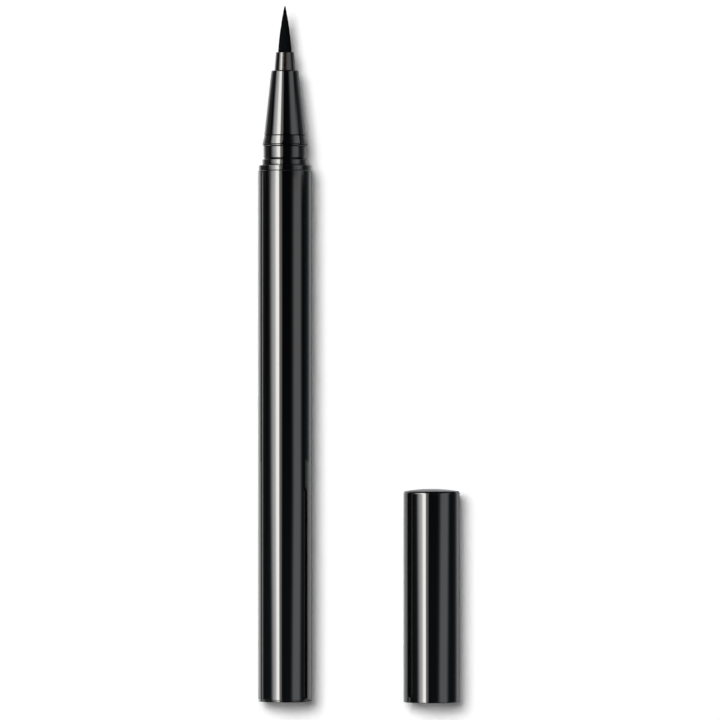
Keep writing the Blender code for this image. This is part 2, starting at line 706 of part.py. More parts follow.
def main():
    clear_scene()
    facet = math.cos(math.pi / BODY_SIDES)
    width = BARREL_RADIUS + AXIS_TO_AXIS + CAP_RADIUS
    pen_x = BARREL_RADIUS - width / 2
    rear = -PEN_LENGTH / 2
    pen = carrier("pen", (pen_x, rear, BARREL_RADIUS * facet))
    cap = carrier("cap", (pen_x + AXIS_TO_AXIS, rear, CAP_RADIUS * facet))
    inner_cap_slide = carrier("inner_cap_slide", ORIGIN, cap)
    make_barrel(pen)
    make_tail_plug(pen)
    make_grip_section(pen)
    make_nose_cone(pen)
    make_nib_holder(pen)
    make_nib(pen)
    make_ink_tank(pen)
    make_stirring_ball(pen)
    make_collector(pen)
    make_relay_wick(pen)
    make_cap_shell(cap)
    make_cap_liner(cap)
    make_inner_cap(inner_cap_slide)
    make_spring(cap)


main()
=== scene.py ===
import math

import bmesh
import bpy
from bpy.props import FloatProperty, FloatVectorProperty, IntProperty, PointerProperty
from bpy.types import Operator, Panel, PropertyGroup
from mathutils import Matrix, Vector


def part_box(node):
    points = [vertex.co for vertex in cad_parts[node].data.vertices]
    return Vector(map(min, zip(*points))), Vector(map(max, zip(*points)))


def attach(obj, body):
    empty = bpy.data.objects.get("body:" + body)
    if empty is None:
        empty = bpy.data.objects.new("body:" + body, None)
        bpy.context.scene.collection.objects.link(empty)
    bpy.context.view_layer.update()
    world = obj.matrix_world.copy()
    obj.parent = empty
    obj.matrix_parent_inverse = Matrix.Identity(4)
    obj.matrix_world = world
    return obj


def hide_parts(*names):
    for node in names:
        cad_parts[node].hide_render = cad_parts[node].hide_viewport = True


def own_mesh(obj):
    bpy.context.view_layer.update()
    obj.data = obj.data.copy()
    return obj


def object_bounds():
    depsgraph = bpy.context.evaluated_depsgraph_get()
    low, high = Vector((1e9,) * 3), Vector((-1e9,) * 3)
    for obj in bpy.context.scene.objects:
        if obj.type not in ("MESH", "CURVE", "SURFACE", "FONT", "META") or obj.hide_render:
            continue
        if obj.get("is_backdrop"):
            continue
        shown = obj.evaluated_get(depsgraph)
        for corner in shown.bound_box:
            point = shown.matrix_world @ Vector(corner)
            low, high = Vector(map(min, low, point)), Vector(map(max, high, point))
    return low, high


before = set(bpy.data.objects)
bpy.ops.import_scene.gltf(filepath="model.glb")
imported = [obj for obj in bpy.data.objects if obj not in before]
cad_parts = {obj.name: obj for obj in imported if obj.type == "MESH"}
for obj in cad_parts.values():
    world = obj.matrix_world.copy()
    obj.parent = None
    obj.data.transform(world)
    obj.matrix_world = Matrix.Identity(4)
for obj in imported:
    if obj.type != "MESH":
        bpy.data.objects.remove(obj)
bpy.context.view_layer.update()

bl_info = {
    "name": "Liquid eyeliner pen",
    "version": (1, 0, 0),
    "blender": (4, 5, 0),
    "location": "View3D > Sidebar > Eyeliner",
    "description": "Models a liquid eyeliner pen with its cap off, piece by piece",
    "category": "Add Mesh",
}

MM = 0.001

# How finely round pieces are cut, and where their edges count as sharp
BODY_STEPS = 160
CORE_STEPS = 96
ROUNDING_SEGMENTS = 5
SHARP_ANGLE = math.radians(32)
MERGE = 0.0005 * MM
# Where the points that support a rounding stand, and the room that they need, as shares of it
SUPPORT = 1.1
SUPPORT_ROOM = 1.5

# Clearances, as the moulds leave them, and what shows of them
FIT = 0.05 * MM
SEAM = 0.1 * MM
CLOSED = 0.01 * MM
NOSE_SEAM_BACK = 0.18 * MM
# How far the nib's point reaches past its solid, and how far the cap's dome stays under its own
NIB_REACH = 0.05 * MM
DOME_DROP = 0.1 * MM

# Roundings of the mouldings, from nearly sharp to soft, and the chamfer that leads a spigot in
CRISP_EDGE = 0.02 * MM
THIN_EDGE = 0.04 * MM
EDGE = 0.05 * MM
FULL_EDGE = 0.06 * MM
RIB_EDGE = 0.08 * MM
SOFT_EDGE = 0.1 * MM
FILLET = 0.15 * MM
BROAD_FILLET = 0.2 * MM
LEAD_IN = 0.3 * MM

LONG_AXIS = (0, 1, 0)

# The studio
CAMERA_PLACE = (0.23 * MM, -1.06 * MM, 1.336)
CAMERA_LENS = 360.0
SENSOR_WIDTH = 36.0
FLOOR_SIZE = 10.0
# The overhead lights: (name, share of their light, degrees across, degrees of lean), and their tilt
OVERHEADS = (("overhead_left", 0.8, 22, -14.8), ("overhead_middle", 0.2, 14, -1.8))
OVERHEAD_TILT = -13.4
# What gloss meets past the floor: (heading along Y, radiance), on the rear's side and on the tip's
PAST_REAR = (-0.035, 0.09)
PAST_TIP = (0.005, 0.012)
LAMP_DISTANCE = 3.0
LAMP_LENGTH = 4.0
# Where along the banks the light of the pen's front starts, and the angles about which bands widen
NECK_LIGHT = 0.12
KEY_STILL = -24
FILL_STILL = 80
# The most that a bank narrows its bands, and the degrees that its shifts span
MOST_NARROWED = 2.0
SHIFT_SPAN = 80.0
# Painted reflections: how gloss alone sees the floor, lighter, glowing or darker by place, in strips along Y
# that reach this many millimetres to either side. A stop is (millimetres across the table, share of the
# floor's light that gloss keeps, painted glow of its own).
PAINTED_REFLECTION_REACH = 60.0
PAINTED_REFLECTION_BY_CAP = (
    (-60, 0.02, 0), (-50, 0.12, 0), (-43.5, 0.3, 0), (-41, 1, 1.1), (-36.5, 1, 1.5), (-34, 0.15, 0),
    (-31, 0.05, 0), (-29.5, 0.55, 0), (-28, 1, 0.35), (-24, 1, 1.08), (-21.5, 1, 0.5), (-19, 1, 0.1),
    (-12, 1, 0), (-9, 0.03, 0), (-7.5, 0.06, 0), (-6.3, 0.2, 0), (-5, 0.95, 0), (-1, 1, 0.15),
    (1.7, 0.9, 0.12), (4.3, 0.85, 0.4), (7.2, 0.8, 0.35), (8.1, 0.25, 0), (8.5, 0.5, 0), (18, 0.5, 0),
    (19, 0.02, 0), (20.2, 0.1, 0), (22.9, 0.7, 0), (25.7, 1, 0), (29.2, 0.7, 0), (34, 0.27, 0),
    (42, 0.08, 0), (58, 0.03, 0),
)
PAINTED_REFLECTION_BY_BARREL = (
    (-60, 0.02, 0), (-50, 0.03, 0), (-44.5, 0.12, 0), (-41.5, 1, 1.1), (-36.5, 1, 1.5), (-34, 0.06, 0),
    (-31, 0.03, 0), (-29.5, 0.4, 0), (-28, 0.85, 0), (-26, 1, 0.3), (-24, 1, 1.25), (-21.5, 1, 0.5),
    (-19, 1, 0.1), (-17, 1, 0), (-12, 1, 0), (-9, 0.03, 0), (-7.5, 0.06, 0), (-6.3, 0.2, 0), (-5, 0.92, 0),
    (-3.5, 1, 0.08), (-1, 1, 0), (1, 0.82, 0), (2.7, 0.57, 0), (5, 0.34, 0), (8, 0.18, 0), (17, 0.1, 0),
    (39, 0.03, 0), (60, 0.02, 0),
)
PAINTED_REFLECTION_BY_FRONT = (
    (-60, 0.1, 0), (-40, 0.18, 0), (-31, 0.22, 0), (-27.5, 0.28, 0), (-25.8, 0.38, 0), (-24, 1, 0.25),
    (-22, 1, 0.35), (-20, 1, 0.3), (-18, 1, 0.1), (-12.5, 0.12, 0), (-9.5, 0.2, 0), (-8, 0.45, 0),
    (-6, 0.75, 0), (-3.5, 0.7, 0), (-1, 0.52, 0), (2, 0.3, 0), (6, 0.24, 0), (12, 0.2, 0), (26, 0.13, 0),
    (60, 0.09, 0),
)
# Where along Y one strip of the floor's painted reflections gives way to the next, and over what length
CAP_END = -20 * MM
BARREL_FRONT = 34.2 * MM
PAINTED_REFLECTION_BLEND = 0.4 * MM
# How the long boxes change along Y: (metres, width of the bands, degrees they shift)
KEY_BY_BARREL = (
    (-0.2, 0.8, 1.0), (-0.145, 0.83, 0.5), (-0.085, 0.9, 0.3), (0.029, 0.975, 0.3), (0.095, 1.0, -0.4),
    (0.112, 0.98, -0.4), (0.1135, 0.8, 0.9), (0.1155, 0.8, 0.9), (0.117, 1.0, -2.5), (0.12, 1.0, -2.5),
)
KEY_BY_FRONT = (
    (0.12, 1.245, -1.3), (0.13, 1.245, -1.3), (0.3, 1.27, -0.8), (0.56, 1.27, -0.8), (0.58, 0.93, -10),
    (0.7, 0.93, -10), (0.71, 1.27, -0.8), (1.0, 1.27, -0.8), (1.1, 1.32, -3), (1.7, 1.32, -3),
)
FILL_BY_BARREL = (
    (-0.2, 0.98, -3.6), (-0.145, 0.99, -1.7), (-0.085, 1.0, 0.5), (0.029, 1.0, 0.3), (0.112, 1.0, 0.8),
    (0.1135, 1.12, 20), (0.1155, 1.12, 20), (0.117, 1.18, 22), (0.12, 1.18, 22),
)
FILL_BY_FRONT = (
    (0.12, 1.03, 5.5), (0.13, 1.03, 5.5), (0.3, 1.02, 1), (0.56, 1.02, 1), (0.58, 2.6, 19.5),
    (0.7, 2.6, 19.5), (0.71, 1.02, 1), (1.0, 1.02, 1), (1.1, 1.85, 39), (1.7, 1.85, 39),
)
WARM = "#FFFCF7"
COOL = "#FBFDFF"


def linear(code):
    """The linear colour of an sRGB hex value."""
    channels = [int(code[i : i + 2], 16) / 255 for i in (1, 3, 5)]
    return tuple(c / 12.92 if c <= 0.04045 else ((c + 0.055) / 1.055) ** 2.4 for c in channels)


def length(name, millimetres, words):
    """A length that a user may change, written here in millimetres."""
    return FloatProperty(
        name=name, description=words, default=millimetres * MM, min=0.0, precision=5, unit="LENGTH"
    )


def colour(name, code, words):
    """A colour that a user may change, written here as an sRGB hex value."""
    return FloatVectorProperty(
        name=name, description=words, default=linear(code), min=0.0, max=1.0, size=3, subtype="COLOR"
    )


def strength(name, value, words):
    """The strength of a light that a user may change."""
    return FloatProperty(name=name, description=words, default=value, min=0.0)


class EyelinerPenSizes(PropertyGroup):
    """Sizes of the pieces that make up the pen."""

    barrel_diameter: length("Barrel diameter", 10.0, "Across the lacquered barrel")
    barrel_wall: length("Barrel wall", 0.7, "Thickness of the barrel's wall")
    tail_crown: length("Tail crown", 0.12, "How far the rear end bulges")
    tail_rim: length("Tail rim", 0.25, "Height of the tail plug's rim")
    tail_rounding: length("Tail rounding", 0.12, "Rounding of the tail plug's outer edge")
    flange_diameter: length("Flange diameter", 9.7, "Across the flange in front of the barrel")
    flange_length: length("Flange length", 0.9, "Length of the flange that the cap's skirt covers")
    flange_rounding: length("Flange rounding", 0.14, "Rounding of the flange's front edge")
    bead_diameter: length("Bead diameter", 8.35, "Across the broad bead and the ring behind it")
    bead_length: length("Bead length", 0.7, "Length of the broad bead")
    ring_length: length("Ring length", 0.16, "Length of the narrow ring behind the bead")
    fine_line: length("Fine line", 0.13, "Width of the lines between the pen's pieces and rings")
    neck_groove: length("Neck groove", 0.36, "Width of the groove between the bead and the neck")
    neck_diameter: length("Neck diameter", 7.94, "Across the neck")
    grip_wall: length("Grip wall", 0.9, "Thickness of the wall at the neck")
    lip_place: length("Lip place", 3.57, "How far in front of the flange the lip starts")
    lip_diameter: length("Lip diameter", 8.34, "Across the lip that clicks into the cap")
    nose_back_diameter: length("Nose back diameter", 7.68, "Across the back of the nose cone")
    nose_front_diameter: length("Nose front diameter", 5.0, "Across the front of the nose cone")
    nose_bulge: length("Nose bulge", 0.01, "How far the taper of the nose cone bulges")
    nose_rounding: length("Nose rounding", 0.2, "Rounding of the nose cone's front edge")
    holder_back_diameter: length("Holder back diameter", 3.86, "Across the back of the nib holder")
    holder_front_diameter: length("Holder front diameter", 3.28, "Across the front of the nib holder")
    holder_wall: length("Holder wall", 0.43, "Thickness of the nib holder's spigot, with its clearance")
    nib_diameter: length("Nib diameter", 2.44, "Across the fibre nib's shank")
    nib_point: length("Nib point", 8.45, "Length of the point that shows")
    nib_tip: length("Nib tip", 0.19, "Across the very tip")
    tank_wall: length("Tank wall", 0.6, "Thickness of the tank's wall")
    ball_diameter: length("Ball diameter", 3.6, "Across the stirring ball")
    wick_diameter: length("Wick diameter", 1.6, "Across the relay wick")
    fin_count: IntProperty(name="Fins", description="Fins on the collector", default=17, min=3)
    fin_thickness: length("Fin thickness", 0.45, "Thickness of one fin")
    fin_gap: length("Fin gap", 0.65, "Gap between two fins")


class EyelinerCapSizes(PropertyGroup):
    """Sizes of the pieces that make up the cap."""

    cap_diameter: length("Cap diameter", 10.4, "Across the cap")
    cap_wall: length("Cap wall", 0.45, "Thickness of the cap's wall")
    cap_crown: length("Cap crown", 0.38, "How far the closed end bulges")
    cap_rounding: length("Cap rounding", 0.42, "Rounding round the closed end")
    mouth_rounding: length("Mouth rounding", 0.15, "Rounding of the cap's rim")
    skirt_depth: length("Skirt depth", 0.95, "Depth of the recess that closes over the flange")
    liner_wall: length("Liner wall", 0.4, "Thickness of the liner's wall")
    ridge_diameter: length("Ridge diameter", 8.14, "Across the inside of the click ridge")
    inner_cap_diameter: length("Inner cap diameter", 7.09, "Across the sealing inner cap")
    inner_cap_rounding: length("Inner cap rounding", 0.5, "Rounding of the inner cap's end")
    spring_diameter: length("Spring diameter", 5.6, "Across the coil spring")
    spring_wire: length("Spring wire", 0.4, "Thickness of the spring's wire")
    spring_turns: IntProperty(name="Spring turns", description="Turns of the coil spring", default=5, min=2)


class EyelinerColours(PropertyGroup):
    """Colours of the finishes."""

    lacquer: colour("Lacquer", "#040405", "Deep black lacquer of the barrel and cap")
    moulding: colour("Moulding", "#040405", "Black plastic of the pen's front")
    gunmetal: colour("Gunmetal", "#0E0A07", "Brown-black nib holder")
    nib: colour("Nib", "#050608", "Fibre nib, soaked with liquid")
    tank: colour("Tank", "#C5CACD", "Natural plastic of the tank")
    white: colour("White moulding", "#DCDCD8", "White plastic inside the pen and cap")
    wick: colour("Wick", "#A2A29F", "Fibre of the relay wick")
    steel: colour("Steel", "#C9C9CC", "Polished steel")
    floor: colour("Floor", "#F9F9F9", "The plain table top")


class EyelinerStudio(PropertyGroup):
    """Strengths of the studio's lights."""

    key: strength("Key", 21.0, "Radiance of the bright long box")
    fill: strength("Fill", 1.95, "Radiance of the box on the right")
    sky: strength("Sky", 0.12, "Plain light from all round")
    sun: strength("Overhead", 3.04, "Irradiance of the two overhead lights together")
    lift: strength("Floor lift", 0.055, "What the white floor adds of its own")


# Helpers for the meshes


def axis_of(node):
    """The place of a round node's own axis, at y = 0."""
    low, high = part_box(node)
    middle = (low + high) / 2
    return Vector((middle.x, 0, middle.z))


def ends_of(node):
    """Where a node starts and ends along Y."""
    low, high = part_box(node)
    return low.y, high.y


def finish_shape(name, shape):
    """Makes an object of a closed bmesh, with its faces outwards and its real edges sharp."""
    bmesh.ops.remove_doubles(shape, verts=shape.verts, dist=MERGE)
    bmesh.ops.recalc_face_normals(shape, faces=shape.faces)
    mesh = bpy.data.meshes.new(name)
    shape.to_mesh(mesh)
    shape.free()
    mesh.shade_smooth()
    mesh.set_sharp_from_angle(angle=SHARP_ANGLE)
    piece = bpy.data.objects.new(name, mesh)
    bpy.context.scene.collection.objects.link(piece)
    return piece


def supported(outline, closed):
    """The outline with a point beside each rounding, so that straight stretches shade straight."""
    points = []
    following = outline[1:] + (outline[:1] if closed else [])
    for corner, beyond in zip(outline, following):
        points.append(corner)
        start, end = Vector(corner[:2]), Vector(beyond[:2])
        way = end - start
        before, after = (SUPPORT * point[2] if len(point) == 3 else 0.0 for point in (corner, beyond))
        if way.length > SUPPORT_ROOM * (before + after):
            step = way.normalized()
            if before > 0:
                points.append(tuple(start + step * before))
            if after > 0:
                points.append(tuple(end - step * after))
    return points if closed else points + outline[-1:]


def turned(name, axis, outline, steps=BODY_STEPS):
    """A round piece: its outline's corners are rounded, and it is spun about an axis along Y.

    A corner is (along, radius) or (along, radius, rounding). An outline that starts and ends on the axis
    gives a solid, and any other is closed and gives a ring.
    """
    shape = bmesh.new()
    closed = outline[0][1] > 0
    outline = supported(outline, closed)
    corners = [shape.verts.new(axis + Vector((corner[1], corner[0], 0))) for corner in outline]
    for pair in zip(corners, corners[1:]):
        shape.edges.new(pair)
    if closed:
        shape.edges.new((corners[-1], corners[0]))
    roundings = sorted({corner[2] for corner in outline if len(corner) == 3})
    for rounding in roundings:
        picked = [v for v, corner in zip(corners, outline) if corner[2:] == (rounding,)]
        bmesh.ops.bevel(
            shape, geom=picked, offset=rounding, offset_type="OFFSET", segments=ROUNDING_SEGMENTS,
            profile=0.5, affect="VERTICES", material=-1,
        )
    wire = shape.verts[:] + shape.edges[:]
    bmesh.ops.spin(shape, geom=wire, cent=axis, axis=LONG_AXIS, angle=math.tau, steps=steps, use_merge=True)
    return finish_shape(name, shape)


def fine_line(at, radius, width):
    """A sharp line cut round a piece, whose sloping sides turn away from the lamps."""
    return [(at - width / 2, radius), (at, radius - width / 2), (at + width / 2, radius)]


def bowed(start, end, bulge, steps):
    """Points from one (along, radius) up to another, which swell by a bulge halfway."""
    points = []
    for step in range(steps):
        share = step / steps
        swell = bulge * 4 * share * (1 - share)
        along, radius = (low + (high - low) * share for low, high in zip(start, end))
        points.append((along, radius + swell))
    return points


def crown(centre, rim, rim_radius, flat_share=0.35, steps=12):
    """A crowned end, from the middle of its flat out to its rim."""
    points = [(centre, 0.0)]
    for step in range(steps + 1):
        share = flat_share + (1 - flat_share) * step / steps
        drop = (share**2 - flat_share**2) / (1 - flat_share**2)
        points.append((centre + (rim - centre) * drop, rim_radius * share))
    return points


def slotted(piece, low, high):
    """Cuts a slot with a box and keeps the result in the piece's own mesh."""
    shape = bmesh.new()
    place = Matrix.Translation((low + high) / 2) @ Matrix.Diagonal((*(high - low), 1))
    bmesh.ops.create_cube(shape, size=1, matrix=place)
    tool = finish_shape("slot_cutter", shape)
    cut = piece.modifiers.new("Slot", "BOOLEAN")
    cut.operation = "DIFFERENCE"
    cut.object = tool
    graph = bpy.context.evaluated_depsgraph_get()
    mesh = bpy.data.meshes.new_from_object(piece.evaluated_get(graph))
    piece.modifiers.clear()
    piece.data = mesh
    bpy.data.objects.remove(tool)


def place_piece(piece, node, body, slot):
    """Lets a piece ride on its body in the node's stead, in its finish."""
    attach(piece, body)
    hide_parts(node)
    piece.data.materials.clear()
    piece.data.materials.append(material_of(slot))


# Materials


def set_sockets(node, sockets):
    """Fills a node's sockets, each with a value, a socket to link or a node's first output."""
    for name, value in sockets.items():
        if isinstance(value, bpy.types.Node):
            value = value.outputs[0]
        if isinstance(value, bpy.types.NodeSocket):
            node.id_data.links.new(value, node.inputs[name])
        else:
            node.inputs[name].default_value = value


def add(tree, kind, sockets=None, **settings):
    """Adds a node with its settings and links."""
    made = tree.nodes.new("ShaderNode" + kind)
    for name, value in settings.items():
        setattr(made, name, value)
    set_sockets(made, sockets or {})
    return made


def set_stops(ramp, stops):
    """Gives a colour ramp its stops, each a position and a colour."""
    elements = ramp.color_ramp.elements
    while len(elements) < len(stops):
        elements.new(0.5)
    for element, (position, colour_there) in zip(elements, stops):
        element.position = position
        element.color = colour_there


def new_material(name):
    """An empty material, with its shader and the object's own coordinates."""
    material = bpy.data.materials.new(name)
    material.use_nodes = True
    tree = material.node_tree
    shader = tree.nodes["Principled BSDF"]
    place = add(tree, "TexCoord").outputs["Object"]
    return material, tree, shader, place


def toned(base, share=1.0):
    """A linear colour for a socket, made darker or lighter."""
    return (*(c * share for c in base), 1)


def waves(millimetres):
    """The scale of a noise whose waves are this long."""
    return 1 / (millimetres * MM)


def vary(shader, base, shares, cloud, roughness, relief, height, strength=1.0):
    """Spreads a finish's colour and roughness by one pattern, and lifts its surface by another."""
    tree = shader.id_data
    dark, light = (toned(base, share) for share in shares)
    set_sockets(shader, {
        "Base Color": add(tree, "MixRGB", {"Fac": cloud, "Color1": dark, "Color2": light}),
        "Roughness": add(tree, "MapRange", {"Value": cloud, "To Min": roughness[0], "To Max": roughness[1]}),
        "Normal": add(tree, "Bump", {"Height": relief, "Strength": strength, "Distance": height}),
    })


def black_lacquer(colours):
    """Black polyurethane lacquer, sprayed on a moulded shell and polished.

    It gives the eye a black with no bottom and mirror-sharp streaks of the lamps, and close up a faint
    orange peel of about 1.5 mm waves.
    """
    material, tree, shader, place = new_material("black_polyurethane_lacquer")
    peel = add(tree, "TexNoise", {"Vector": place, "Scale": waves(1.54), "Detail": 1.0, "Roughness": 0.4})
    haze = add(tree, "TexNoise", {"Vector": place, "Scale": waves(11.1), "Detail": 3.0})
    vary(shader, colours.lacquer, (1.0, 1.25), haze, (0.02, 0.045), peel, 0.0006 * MM)
    set_sockets(shader, {"IOR": 1.5})
    return material


def black_moulding(colours):
    """Black ABS, moulded in a polished tool.

    It gives the eye the lacquer's black with slightly softer streaks, and fine flow lines along the piece.
    """
    material, tree, shader, place = new_material("black_polished_abs")
    along = add(tree, "Mapping", {"Vector": place, "Scale": (1.0, 0.2, 1.0)})
    flow = add(tree, "TexNoise", {"Vector": along, "Scale": waves(1.11), "Detail": 2.0})
    vary(shader, colours.moulding, (1.0, 1.4), flow, (0.03, 0.06), flow, 0.0006 * MM)
    set_sockets(shader, {"IOR": 1.5})
    return material


def gunmetal(colours):
    """Brown-black gloss moulding of the nib holder.

    It gives the eye crisp streaks, slightly warm, over a brown black.
    """
    material, tree, shader, place = new_material("gunmetal_gloss_moulding")
    grain = add(tree, "TexNoise", {"Vector": place, "Scale": waves(0.4), "Detail": 2.0})
    vary(shader, colours.gunmetal, (0.8, 1.2), grain, (0.04, 0.08), grain, 0.0008 * MM)
    set_sockets(shader, {"IOR": 1.5, "Specular IOR Level": 0.46, "Specular Tint": toned(linear("#FFFDFB"))})
    return material


def nib_fibre(colours):
    """Polyester fibres, pressed into a rod, ground to a point and soaked with black liquid.

    They give the eye a matte black with short, faint streaks along the point. The fibres are 0.02 mm
    thick, and their streaks are drawn 0.2 mm wide so that they show.
    """
    material, tree, shader, place = new_material("pressed_polyester_fibre")
    along = add(tree, "Mapping", {"Vector": place, "Scale": (1.0, 0.12, 1.0)})
    strands = add(tree, "TexNoise", {"Vector": along, "Scale": waves(0.2), "Detail": 3.0})
    specks = add(tree, "TexNoise", {"Vector": place, "Scale": waves(0.286), "Detail": 2.0})
    both = add(tree, "Math", {0: strands, 1: specks}, operation="MULTIPLY")
    ramp = add(tree, "ValToRGB", {"Fac": both})
    set_stops(ramp, ((0.18, toned(colours.nib, 0.6)), (0.42, toned(colours.nib, 2.2))))
    set_sockets(shader, {
        "Base Color": ramp,
        "Roughness": 0.9,
        "Normal": add(tree, "Bump", {"Height": strands, "Strength": 0.7, "Distance": 0.03 * MM}),
        "Specular IOR Level": 0.02,
    })
    return material


def tank_plastic(colours):
    """Natural polypropylene, extruded and cut to length.

    It gives the eye a milky wall that light passes through, with faint lines along it.
    """
    material, tree, shader, place = new_material("natural_polypropylene")
    along = add(tree, "Mapping", {"Vector": place, "Scale": (1.0, 0.03, 1.0)})
    lines = add(tree, "TexNoise", {"Vector": along, "Scale": waves(0.667), "Detail": 2.0})
    vary(shader, colours.tank, (0.92, 1.0), lines, (0.25, 0.42), lines, 0.01 * MM, 0.5)
    set_sockets(shader, {"IOR": 1.49, "Transmission Weight": 0.35})
    return material


def white_plastic(colours):
    """White polypropylene, moulded in a lightly blasted tool.

    It gives the eye a clean satin white, with a fine grain of about 0.15 mm.
    """
    material, tree, shader, place = new_material("white_moulded_polypropylene")
    grain = add(tree, "TexNoise", {"Vector": place, "Scale": waves(0.154), "Detail": 2.0})
    cloud = add(tree, "TexNoise", {"Vector": place, "Scale": waves(4.0), "Detail": 2.0})
    vary(shader, colours.white, (0.95, 1.0), cloud, (0.38, 0.52), grain, 0.008 * MM, 0.4)
    set_sockets(shader, {"IOR": 1.49})
    return material


def wick_fibre(colours):
    """Polyester fibres, bonded side by side into a soft rod.

    They give the eye a matte grey with fine streaks that run the rod's whole length, drawn 0.15 mm wide.
    """
    material, tree, shader, place = new_material("bonded_polyester_fibre")
    along = add(tree, "Mapping", {"Vector": place, "Scale": (1.0, 0.04, 1.0)})
    strands = add(tree, "TexNoise", {"Vector": along, "Scale": waves(0.154), "Detail": 3.0})
    ramp = add(tree, "ValToRGB", {"Fac": strands})
    set_stops(ramp, ((0.3, toned(colours.wick, 0.55)), (0.7, toned(colours.wick, 1.2))))
    set_sockets(shader, {
        "Base Color": ramp,
        "Roughness": 0.95,
        "Normal": add(tree, "Bump", {"Height": strands, "Strength": 0.8, "Distance": 0.04 * MM}),
        "Specular IOR Level": 0.2,
        "Sheen Weight": 0.15,
    })
    return material


def polished_steel(colours):
    """Stainless steel, drawn or ground and then tumbled until it is bright.

    It gives the eye hard, bright glints with hair-fine lines across them.
    """
    material, tree, shader, place = new_material("tumbled_stainless_steel")
    scratch = add(tree, "TexNoise", {"Vector": place, "Scale": waves(0.25), "Detail": 3.0})
    vary(shader, colours.steel, (0.9, 1.0), scratch, (0.1, 0.22), scratch, 0.003 * MM, 0.3)
    set_sockets(shader, {"Metallic": 1.0})
    return material


FINISHES = {
    "black_lacquer": black_lacquer,
    "black_moulding": black_moulding,
    "gunmetal": gunmetal,
    "nib_fibre": nib_fibre,
    "tank_plastic": tank_plastic,
    "white_plastic": white_plastic,
    "wick_fibre": wick_fibre,
    "polished_steel": polished_steel,
}
made_materials = {}


def material_of(slot):
    """The material of one of the record's slots, made once."""
    if slot not in made_materials:
        made_materials[slot] = FINISHES[slot](bpy.context.scene.eyeliner_colours)
    return made_materials[slot]


# The pen's pieces


def barrel_bore(sizes):
    """Radius of the bore that the tail plug, the grip section and the tank fit."""
    return sizes.barrel_diameter / 2 - sizes.barrel_wall


def grip_bore(sizes):
    """Radius of the bore that the nose cone and the collector's guide fit."""
    return sizes.neck_diameter / 2 - sizes.grip_wall


def nose_line(sizes):
    """Width and depth of each half of the line between the grip section and the nose cone."""
    return 0.7 * sizes.fine_line, sizes.fine_line


class EYELINER_OT_barrel(Operator):
    """Make the lacquered barrel and the crowned plug that closes its rear end"""

    bl_idname = "eyeliner.barrel"
    bl_label = "Barrel and tail plug"

    def execute(self, context):
        sizes = context.scene.eyeliner_pen
        axis = axis_of("barrel")
        radius, bore = sizes.barrel_diameter / 2, barrel_bore(sizes)
        start, end = ends_of("barrel")
        line = sizes.fine_line / 2
        rear, rear_line, chamfer = start - SEAM, 1.6 * line, 0.25 * MM
        barrel = turned("lacquered_barrel", axis, [
            (rear, radius - rear_line),
            (rear + rear_line, radius),
            (end - line, radius),
            (end, radius - line),
            (end, bore, EDGE),
            (start + chamfer, bore),
            (rear, bore + chamfer),
        ])
        place_piece(barrel, "barrel", "pen", "black_lacquer")
        tail, spigot_end = ends_of("tail_plug")
        set_back, wall, end_wall = 0.04 * MM, 0.9 * MM, 1.2 * MM
        rim, rounding = radius - set_back, sizes.tail_rounding
        spigot = bore - FIT
        hollow, floor = spigot - wall, tail + end_wall
        rim_start = tail + sizes.tail_crown
        rim_end = rim_start + sizes.tail_rim - CLOSED
        plug = turned("crowned_tail_plug", axis, [
            *crown(tail, rim_start, rim - rounding)[:-1],
            (rim_start, rim, rounding),
            (rim_end - line, rim),
            (rim_end, rim - line),
            (rim_end, spigot),
            (spigot_end - LEAD_IN, spigot),
            (spigot_end, spigot - LEAD_IN, EDGE),
            (spigot_end, hollow, EDGE),
            (floor, hollow, BROAD_FILLET),
            (floor, 0.0),
        ])
        place_piece(plug, "tail_plug", "pen", "black_lacquer")
        return {"FINISHED"}


